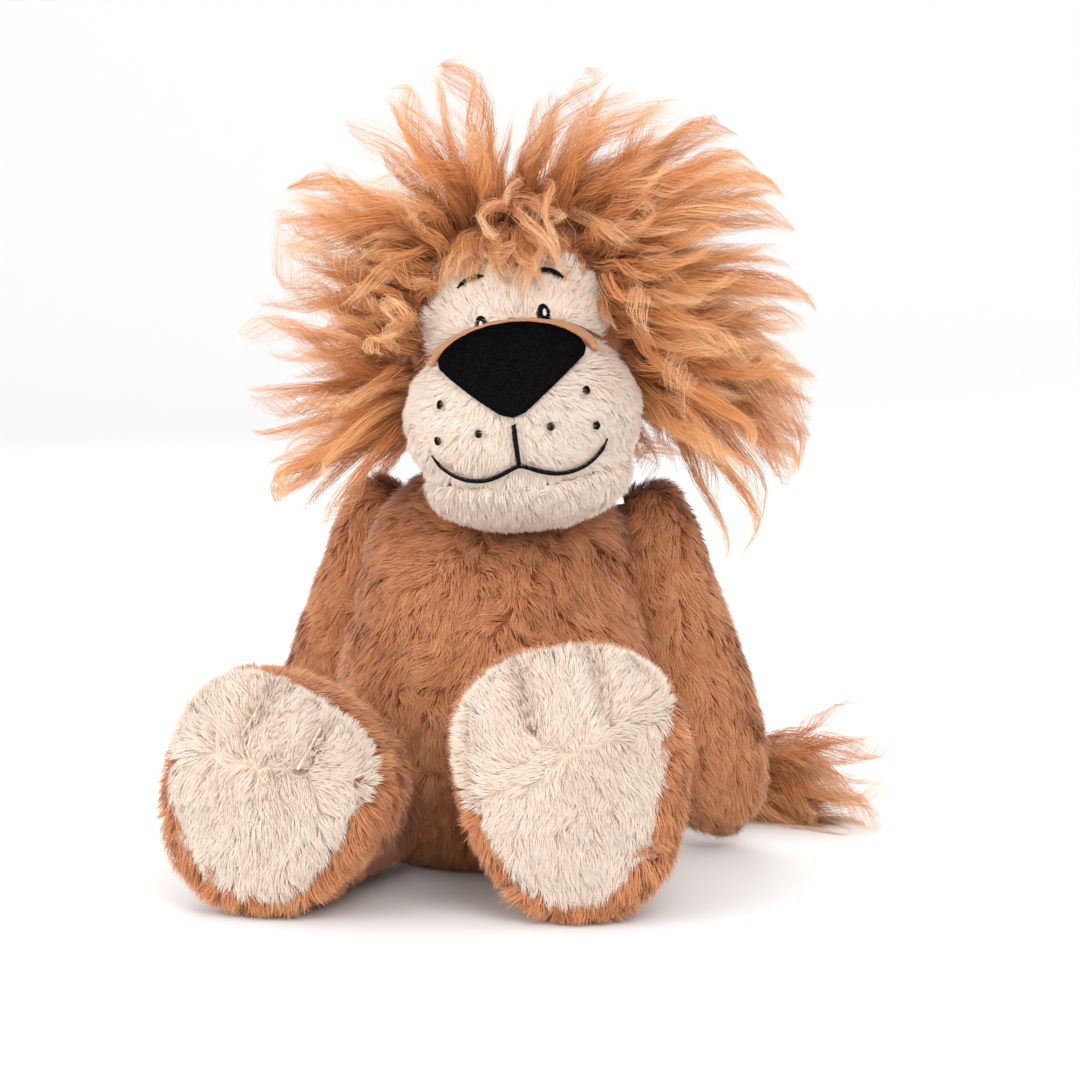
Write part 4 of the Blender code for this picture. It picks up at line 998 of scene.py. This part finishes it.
def lock_strips(root, way, bend, length, tone, style, seed, hold):
    """Strands of long wavy locks.

    Each lock starts at its root along its way, bends by a vector that is added in full by its
    end, and its strands draw together to a tip. Hold is the middle, the free distance and the
    most distance from it that the locks keep to.
    """
    rng = np.random.default_rng(seed)
    locks = len(root)
    steps = np.arange(LOCK_STEPS + 1) / LOCK_STEPS
    which = np.repeat(np.arange(locks), style["strands"])
    count = len(which)
    own_length = length[which] * rng.uniform(0.66, 1.05, count)
    t = steps[None, :, None]
    path = root[which][:, None] + way[which][:, None] * (own_length[:, None, None] * t)
    path = path + bend[which][:, None] * own_length[:, None, None] * t**2
    first = unit(np.cross(way, rng.normal(size=way.shape)))
    second = np.cross(way, first)
    turn = rng.uniform(0, 2 * math.pi, count)
    away = style["spread"] * np.sqrt(rng.random(count))
    stray = rng.random(count) < STRAY_SHARE
    own_length *= np.where(stray, rng.uniform(0.9, 1.2, count), 1.0)
    curl = rng.uniform(-1.0, 1.0, locks)[which][:, None]
    angle = turn[:, None] + curl * steps[None] * math.pi
    tight = np.where(stray, rng.uniform(-0.2, 1.2, count), rng.uniform(-0.98, -0.72, locks)[which])[:, None]
    radius = away[:, None] * (1 + tight * steps[None])
    first, second = first[which][:, None], second[which][:, None]
    around = first * np.cos(angle)[..., None] + second * np.sin(angle)[..., None]
    path = path + around * radius[..., None]
    waves = rng.uniform(1.2, 2.8, locks)[which][:, None]
    phase = rng.uniform(0, 2 * math.pi, locks)[which][:, None] + rng.normal(0, 0.42, count)[:, None]
    swing = style["wave"] * rng.uniform(0.4, 1.5, locks) * (length / length.max()) ** 0.7
    swing = swing[which][:, None] * steps[None] ** 0.75
    run = 2 * math.pi * waves * steps[None] + phase
    path = path + first * (swing * np.sin(run))[..., None]
    path = path + second * (0.8 * swing * np.cos(0.8 * run))[..., None]
    frizz = rng.normal(0, 0.0005, (count, LOCK_STEPS + 1, 3)) * np.where(stray, 2.5, 1.0)[:, None, None]
    path = held(path + frizz * t, *hold)
    along = unit(np.gradient(path, axis=1))
    flat = unit(np.cross(along, unit(rng.normal(size=(count, 1, 3)))))
    own_width = style["width"] * rng.uniform(0.7, 1.2, count) * np.where(stray, 0.6, 1.0)
    thin = (1 - 0.72 * steps**1.3)[None, :, None] * own_width[:, None, None]
    left = (path - flat * thin / 2)[:, :-1]
    right = (path + flat * thin / 2)[:, :-1]
    tones = tone[which] + 0.11 * rng.normal(size=count) + np.where(stray, 0.15, 0.0)
    return left, right, path[:, -1], None, np.clip(tones, 0, 0.999)


def add_locks(node, strips, body):
    """A panel's locks, put in place of its node, which is hidden."""
    pieces = add_strips(f"{node}_locks", strips, "mane_pile", body)
    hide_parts(node)


def make_mane():
    rng = np.random.default_rng(71)
    azimuth, elevation, length, brow, back, crown, edge = mane_guides(rng)
    count = len(azimuth)
    out = head_way(azimuth, elevation)
    root = from_head(out * (HEAD_RADIUS + 0.001))
    up, right = np.array((0.0, 0.0, 1.0)), np.array((1.0, 0.0, 0.0))
    ahead = turn_from_head(np.array((0.0, -1.0, 0.0)))
    flow = np.stack([ripple(root, MANE_FLOW, seed) for seed in (73, 74, 75)], axis=1)
    way = turn_from_head(out) + 0.20 * flow + rng.normal(0, 0.16, out.shape)
    inward = (ahead * 0.5 + up * 0.4) * brow[:, None]
    inward += (right * 0.30 - up * 0.45) * (edge * (azimuth > 0))[:, None]
    inward += (ahead * 0.60 + right * 0.25) * (edge * (azimuth < 0) * (elevation < 0.5))[:, None]
    way = unit(way + inward)
    crown, level, back = crown[:, None], 1 - crown[:, None], back[:, None]
    sweep = 0.36 * np.tanh((azimuth[:, None] - MANE_PARTING) / 0.25)
    side = right * (sweep * crown + 0.05 * np.sign(azimuth)[:, None] * level)
    side = side + 0.26 * flow + rng.normal(0, 0.12, out.shape)
    beside = (azimuth > 0) & (azimuth < BESIDE_FACE) & (elevation < MANE_SIDE_TOP)
    side[beside, 0] = np.abs(side[beside, 0])
    under = rising(-elevation, -UNDER_START, UNDER_BAND)[:, None]
    fall = (0.16 + 0.42 * under) * level + rng.uniform(-0.12, 0.20, (count, 1)) * level
    drop = -up * fall + ahead * 0.08 * crown * (1 - back)
    front = (elevation > MANE_BROW) & (np.abs(azimuth) < FALLING_HALF_ANGLE) & ~brow
    falls = (front & (rng.random(count) < FALLING_SHARE))[:, None]
    drop = np.where(falls, -up * 0.95 + ahead * 0.55, drop)
    drop = np.where(brow[:, None], -up * 1.55 + ahead * 0.10, drop)
    length = length * (1 + 0.10 * under[:, 0] - 0.16 * (level * (1 - under))[:, 0])
    node = mane_node(azimuth, elevation, brow)
    tone = 0.46 + 0.17 * rng.normal(size=count)
    for number, name in enumerate(sorted(set(node))):
        own = node == name
        bend = side[own] + drop[own]
        hold = (np.array(HEAD_MIDDLE), *MANE_HOLD)
        strips = lock_strips(
            root[own], way[own], bend, length[own], tone[own], MANE_LOCK, 720 + number, hold
        )
        add_locks(str(name), strips, "head")


def make_mane_skins():
    """The sewn backings of the mane's panels, from the parts of their nodes that lie on the head."""
    middle = np.array(HEAD_MIDDLE)
    for node in (*MANE_NODES, "mane_forelock"):
        mesh = node_mesh(node).copy()
        points, _ = mesh_arrays(mesh)
        away = np.linalg.norm(points - middle, axis=1)
        near = HEAD_RADIUS + MANE_BACKING
        set_points(mesh, middle + (points - middle) * (np.minimum(away, near) / away)[:, None])
        made = remeshed(mesh, MANE_VOXEL, 0)
        add_object(f"{node}_backing", made, "mane_skin", "head")


# The lion's parts


DOWN = (0.0, 0.0, -1.0)
CHEST = (0.004, -0.062, 0.150)
# Middle of the painted shadow under the chin
NECK_SHADE = (0.010, -0.040, 0.176)
SEAM_REACH = 0.0040
SEAM_DEPTH = 0.0016
SHOULDER_FILL = 0.0085
TOE_WRAP = 0.0130
TOE_LINES = {
    "left": ((0.029, 0.043), (0.106, 0.084)),
    "right": ((-0.102, 0.064), (-0.025, 0.048)),
}
SOLE_MARGIN = 0.88
TOE_FADE = 0.022
RIM_REACH = 0.024
TOE_PUFF = 0.0026
PUFF_REACH = 0.012
TOE_FOLD = 0.66
FOLD_REACH = 0.065
FOLD_DIP = 0.0024
TOE_DIP = 0.0040
TOE_REACH = 0.0034
SOLE_MIDDLE = 0.08
EMBROIDERY_FREE = 0.0015
MANE_NODES = [f"mane_{part}_{side}" for side, _ in SIDES for part in ("cheek", "crown", "back")]
SHOULDERS = {"left": (0.050, 0.024, 0.156), "right": (-0.050, 0.024, 0.156)}
HIPS = {"left": (0.044, -0.074, 0.033), "right": (-0.044, -0.074, 0.033)}
LEG_WAYS = {"left": math.radians(19.0), "right": math.radians(-9.0)}


def torso_shape(points, normals):
    """The seam's crease down the belly and the back, and the filling pushed out beside the arms' tops."""
    near = fading(points[:, 0], SEAM_REACH)
    full = rising(points[:, 2], 0.110, 0.035) * rising(np.abs(points[:, 0]), 0.015, 0.02)
    return normals * (SHOULDER_FILL * full - SEAM_DEPTH * near)[:, None]


def body_painted_shade(points):
    """Painted shade: darker at the neck under the chin, in the seam's crease and low down between the legs.
    """
    neck = np.linalg.norm(points - np.array(NECK_SHADE), axis=1)
    shade = -0.46 * fading(neck, 0.046)
    shade -= 0.12 * fading(points[:, 0], 0.0022) * (points[:, 1] < 0)
    return shade - 0.10 * np.clip(1 - points[:, 2] / 0.05, 0, 1)


def make_torso():
    covers = ["arm_left", "arm_right", "leg_left", "leg_right", "head", "chin", "muzzle", "tail"]
    skin = make_skin("torso_skin", "body", "torso", "brown", torso_shape, covers[:4])
    comb = combed((1.0, DOWN), (1.5, CHEST, 0.045))
    grow_pile("torso_pile", skin, covers, comb, BROWN_PILE, 101, "brown", "torso", body_painted_shade)


def make_seat():
    panel = remeshed(node_mesh("seat_panel"), 0.0015, 2)
    piece = add_object("seat_panel_cloth", panel, "brown_skin", "torso")
    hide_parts("seat_panel")
    bag = remeshed(node_mesh("pellet_bag"), 0.0020, 3)
    points, normals = mesh_arrays(bag)
    set_points(bag, points + normals * (0.0007 * ripple(points, 0.006, 7) - 0.0009)[:, None])
    piece = add_object("pellet_bag_cloth", bag, "lining", "torso")
    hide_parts("pellet_bag")


def make_arms():
    for number, (side, sign) in enumerate(SIDES):
        arm, top = f"arm_{side}", SHOULDERS[side]
        covers = ["body", f"leg_{side}"]
        skin = make_skin(f"{arm}_skin", arm, arm, "brown", near=covers)

        # Painted shade at the arm's top, where it meets the shoulder under the mane.
        def shade(points, top=top):
            return -0.08 * fading(np.linalg.norm(points - np.array(top), axis=1), 0.022)

        comb = combed((1.0, DOWN), (0.25, (sign, -0.4, 0.0)), (0.8, top, 0.030))
        grow_pile(f"{arm}_pile", skin, covers, comb, BROWN_PILE, 110 + number, "brown", arm, shade)


def above_toes(side, points):
    """How high the points are over the line where the sole's cream pile wraps over the toes."""
    (start, low), (end, high) = TOE_LINES[side]
    share = rising(points[:, 0], start, end - start)
    return points[:, 2] - low - (high - low) * share


def on_margin(side, points):
    """Which points of the sole are so near its edge that the leg's brown pile covers them."""
    low, high = (np.array(corner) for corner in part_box(f"sole_{side}"))
    apart = ((points - (low + high) / 2) / ((high - low) / 2))[:, (0, 2)]
    band = (1 - SOLE_MARGIN) * np.clip(-above_toes(side, points) / TOE_FADE, 0, 1)
    edge = 1 - band + 0.02 * ripple(points, 0.004, 7)
    return (np.linalg.norm(apart, axis=1) > edge) & (above_toes(side, points) < 0)


# Painted shade: the leg's pile darker low down near the floor.
def leg_shade(points):
    return -0.08 * np.clip(1 - points[:, 2] / 0.03, 0, 1)


def toe_shade(points):
    return np.full(len(points), -0.22)


def make_legs():
    for number, (side, _) in enumerate(SIDES):
        leg, turn = f"leg_{side}", LEG_WAYS[side]
        covers = ["body", f"sole_{side}", f"arm_{side}"]
        skin = make_skin(f"{leg}_skin", leg, leg, "brown", near=covers)
        ahead = np.array((math.sin(turn), -math.cos(turn), 0.0))
        front = (mesh_arrays(skin.data)[0] @ ahead).max()

        def comb(points, _, ahead=ahead, front=front):
            near = fading(front - points @ ahead, RIM_REACH)
            return np.array(DOWN) - 1.3 * ahead * near[:, None]

        def is_toe(points, side=side):
            wrap = TOE_WRAP * rising(above_toes(side, points), 0, TOE_FADE)
            wrap += 0.0012 * ripple(points, 0.005, 9) * (wrap > 0)
            return distance_to(points, [f"sole_{side}"], 2 * TOE_WRAP) < wrap

        def is_leg(points, is_toe=is_toe):
            return ~is_toe(points)

        own = (LEG_PILE, 120 + number, "brown", leg, leg_shade)
        grow_pile(f"{leg}_pile", skin, covers, comb, *own, pick=is_leg)
        own = (TOE_PILE, 124 + number, "cream", leg, toe_shade)
        grow_pile(f"{leg}_toe_pile", skin, covers[:1], combed((-1.0, tuple(ahead))), *own, pick=is_toe)
        make_sole(side, number, ahead)


def make_sole(side, number, ahead):
    """A sole with its toes drawn in by their threads, its fold and its two piles."""
    leg, sole = f"leg_{side}", f"sole_{side}"
    stitches = [f"toe_stitch_{part}_{side}" for part in ("inner", "outer")]
    places = np.array([v.co[:] for s in stitches for v in node_mesh(s).vertices])
    low, high = (np.array(corner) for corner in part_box(sole))
    middle = np.array(HIPS[side]) + SOLE_MIDDLE * ahead

    def fold(points):
        share = (points - low) / (high - low)
        line = TOE_FOLD + 0.05 * np.sin(2 * math.pi * share[:, 0] + 0.6)
        near = fading(share[:, 2] - line, FOLD_REACH)
        return near * np.clip(1.6 - 3.2 * np.abs(share[:, 0] - 0.55), 0, 1)

    def toes(points, normals):
        _, away = nearest(places, points)
        puff = TOE_PUFF * fading(away, PUFF_REACH) - TOE_DIP * fading(away, TOE_REACH)
        return normals * (puff - FOLD_DIP * fold(points))[:, None]

    # Cream a little darker all over, and darker still in the toes' grooves and in the fold as painted
    # shade.
    def shade(points):
        _, away = nearest(places, points)
        return -0.20 - 0.34 * fading(away, TOE_REACH) - 0.08 * fold(points)

    def is_margin(points):
        return on_margin(side, points)

    def is_sole(points):
        return ~on_margin(side, points)

    def sole_comb(points, _):
        top = rising(above_toes(side, points), 0, TOE_FADE)[:, None]
        return np.array(DOWN) * (1 - top) + unit(points - middle) * (0.35 + 0.9 * top)

    skin = make_skin(f"{sole}_skin", sole, leg, "cream", toes)
    own = (SOLE_PILE, 130 + number, "cream", leg, shade)
    grow_pile(f"{sole}_pile", skin, [], sole_comb, *own, pick=is_sole)
    comb = combed((0.7, DOWN), (-0.5, tuple(middle), 0.060))
    own = (LEG_PILE, 134 + number, "brown", leg)
    grow_pile(f"{sole}_margin_pile", skin, [], comb, *own, pick=is_margin)
    for stitch in stitches:
        dress(stitch, "cream_thread")


def dress(node, material):
    """Gives a node that stays as it is its finish."""
    mesh = node_mesh(node)
    mesh.materials.clear()
    mesh.materials.append(MATERIALS[material])


def make_tail():
    skin = make_skin("tail_skin", "tail", "tail", "brown")
    comb = combed((1.0, (0.9, 0.3, 0.0)))
    grow_pile("tail_pile", skin, ["body"], comb, BROWN_PILE, 140, "brown", "tail")


def make_tuft():
    """The tail's tuft of long wavy locks, which lie on the ground and lift a little."""
    rng = np.random.default_rng(81)
    ahead = unit(np.array(TUFT_WAY))
    core = remeshed(node_mesh("tail_tuft"), 0.0020, 2)
    points, _ = mesh_arrays(core)
    along = np.clip((points - TUFT_END) @ ahead, -TUFT_CORE_LENGTH, 0.0)[:, None] * ahead
    away = points - TUFT_END - along
    far = np.linalg.norm(away, axis=1, keepdims=True)
    points = TUFT_END + along + away * np.minimum(1.0, TUFT_CORE_RADIUS / np.maximum(far, 1e-6))
    points[:, 2] = np.maximum(points[:, 2], FLOOR_GAP)
    set_points(core, points)
    core = add_object("tail_tuft_core", core, "mane_skin", "tail")
    comb = combed((1.0, tuple(ahead)))
    grow_pile("tail_tuft_pile", core, ["tail"], comb, BROWN_PILE, 83, "brown", "tail")
    ways = unit(rng.normal(size=(TUFT_LOCKS, 3)) * TUFT_SPREAD + ahead)
    root = TUFT_END + ways * 0.006 + ahead * rng.uniform(-0.016, 0.022, (TUFT_LOCKS, 1))
    root[:, 2] = np.maximum(root[:, 2], 0.004)
    length = TUFT_LENGTH * rng.uniform(0.6, 1.08, TUFT_LOCKS)
    side = rng.normal(0, 0.10, (TUFT_LOCKS, 3))
    bend = side + np.array(DOWN) * rng.uniform(0.15, 0.55, (TUFT_LOCKS, 1))
    tone = 0.50 + 0.14 * rng.normal(size=TUFT_LOCKS)
    strips = lock_strips(root, ways, bend, length, tone, TUFT_LOCK, 82, (TUFT_END, *TUFT_HOLD))
    add_locks("tail_tuft", strips, "tail")


def make_head():
    nose = tuple(muzzle_front(*NOSE_ON_MUZZLE)[0])
    clear = (embroidered_places(), EMBROIDERY_FREE)
    back = tuple(turn_from_head(np.array((0.0, 0.35, 0.0))))
    panels = ["face_panel", "muzzle", "chin", *MANE_NODES, "mane_forelock", "body"]
    skin = make_skin("head_skin", "head", "head", "brown")
    comb = combed((1.0, DOWN), (0.4, (0.0, 1.0, 0.0)))
    grow_pile("head_pile", skin, panels, comb, BROWN_PILE, 150, "brown", "head")
    face_comb = combed((1.0, nose, 0.2), (0.3, (0.0, 0.0, 1.0)))
    muzzle_comb = combed((1.0, nose, 0.2), (1.0, back), (0.25, DOWN))
    chin_comb = combed((1.0, DOWN), (1.2, back))
    rows = (
        ("face", "face_panel", (), ["muzzle", "mane_forelock"], face_comb, clear),
        ("muzzle", "muzzle", ["chin"], ["nose", "nose_bridge", "chin"], muzzle_comb, clear),
        ("chin", "chin", ["muzzle"], ["muzzle", "body"], chin_comb, None),
    )
    for number, (name, node, near, covers, comb, free) in enumerate(rows):
        skin = make_skin(f"{name}_skin", node, "head", "cream", near=near)
        own = (CREAM_PILE, 151 + number, "cream", "head", face_painted_shade, free)
        grow_pile(f"{name}_pile", skin, covers, comb, *own)


def face_painted_shade(points):
    """Darker in the fold between muzzle and chin: painted shade."""
    return -0.07 * fading(points[:, 2] - 0.162, 0.004) * (points[:, 1] < -0.03)


def make_nose():
    middle = muzzle_front(*NOSE_ON_MUZZLE)[0]

    def smaller(points, _):
        return (middle - points) * NOSE_SHRINK

    skin = make_skin("nose_skin", "nose", "head", "black", smaller)
    comb = combed((1.0, (0.0, 0.3, 1.0)))
    grow_pile("nose_nap", skin, ["muzzle"], comb, NOSE_PILE, 160, "black", "head")
    skin = make_skin("bridge_skin", "nose_bridge", "head", "orange")
    grow_pile("bridge_nap", skin, ["muzzle", "nose"], comb, NOSE_PILE, 161, "orange", "head")


# Stage, light and camera


def make_stage():
    half, back, bend, top, steps = 6.0, 2.2, 1.2, 5.0, 16
    line = [(-half, 0.0)]
    for k in range(steps + 1):
        turn = math.pi / 2 * k / steps
        line.append((back + bend * math.sin(turn), bend * (1 - math.cos(turn))))
    line.append((back + bend, top))
    points = [(x, y, z) for y, z in line for x in (-half, half)]
    faces = [(2 * k, 2 * k + 1, 2 * k + 3, 2 * k + 2) for k in range(len(line) - 1)]
    mesh = bpy.data.meshes.new("floor")
    mesh.from_pydata(points, [], faces)
    mesh.shade_smooth()
    floor = placed("floor", mesh)
    made, nodes, _ = new_material("pale_floor")
    set_sockets(nodes["Principled BSDF"], {"Base Color": (0.95, 0.95, 0.95, 1.0), "Roughness": 0.9})
    mesh.materials.append(made)


def make_light(name, place, energy, size):
    light = bpy.data.lights.new(name, "AREA")
    light.energy = energy
    light.size = size
    lamp = placed(name, light)
    lamp.location = place
    lamp.rotation_euler = (CAMERA_TARGET - Vector(place)).to_track_quat("-Z", "Y").to_euler()


def make_world():
    world = bpy.data.worlds.new("soft_studio")
    world.use_nodes = True
    background = world.node_tree.nodes["Background"]
    set_sockets(background, {"Color": (*WHITE, 1.0), "Strength": 0.92})
    bpy.context.scene.world = world
    bpy.context.scene.view_settings.view_transform = "Standard"


def make_camera():
    data = bpy.data.cameras.new("camera")
    data.sensor_width = SENSOR_MM
    data.lens = SENSOR_MM * CAMERA_DISTANCE / FRAME_WIDTH
    camera = placed("camera", data)
    flat = math.cos(CAMERA_ELEVATION)
    across, ahead = math.sin(CAMERA_AZIMUTH) * flat, -math.cos(CAMERA_AZIMUTH) * flat
    back = Vector((across, ahead, math.sin(CAMERA_ELEVATION)))
    camera.location = CAMERA_TARGET + back * CAMERA_DISTANCE
    camera.rotation_euler = (-back).to_track_quat("-Z", "Y").to_euler()
    bpy.context.scene.camera = camera


make_camera()
make_torso()
make_seat()
make_arms()
make_legs()
make_tail()
make_tuft()
make_head()
make_nose()
dress("neck_stitch", "brown_thread")
make_mane_skins()
make_mane()
make_embroidery()
make_stage()
make_world()
make_light("key", (0.9, -1.6, 1.3), 19.0, 1.0)
make_light("fill", (-1.1, -1.7, 0.8), 18.0, 1.4)
make_light("back", (-0.5, 1.5, 1.3), 14.0, 1.2)
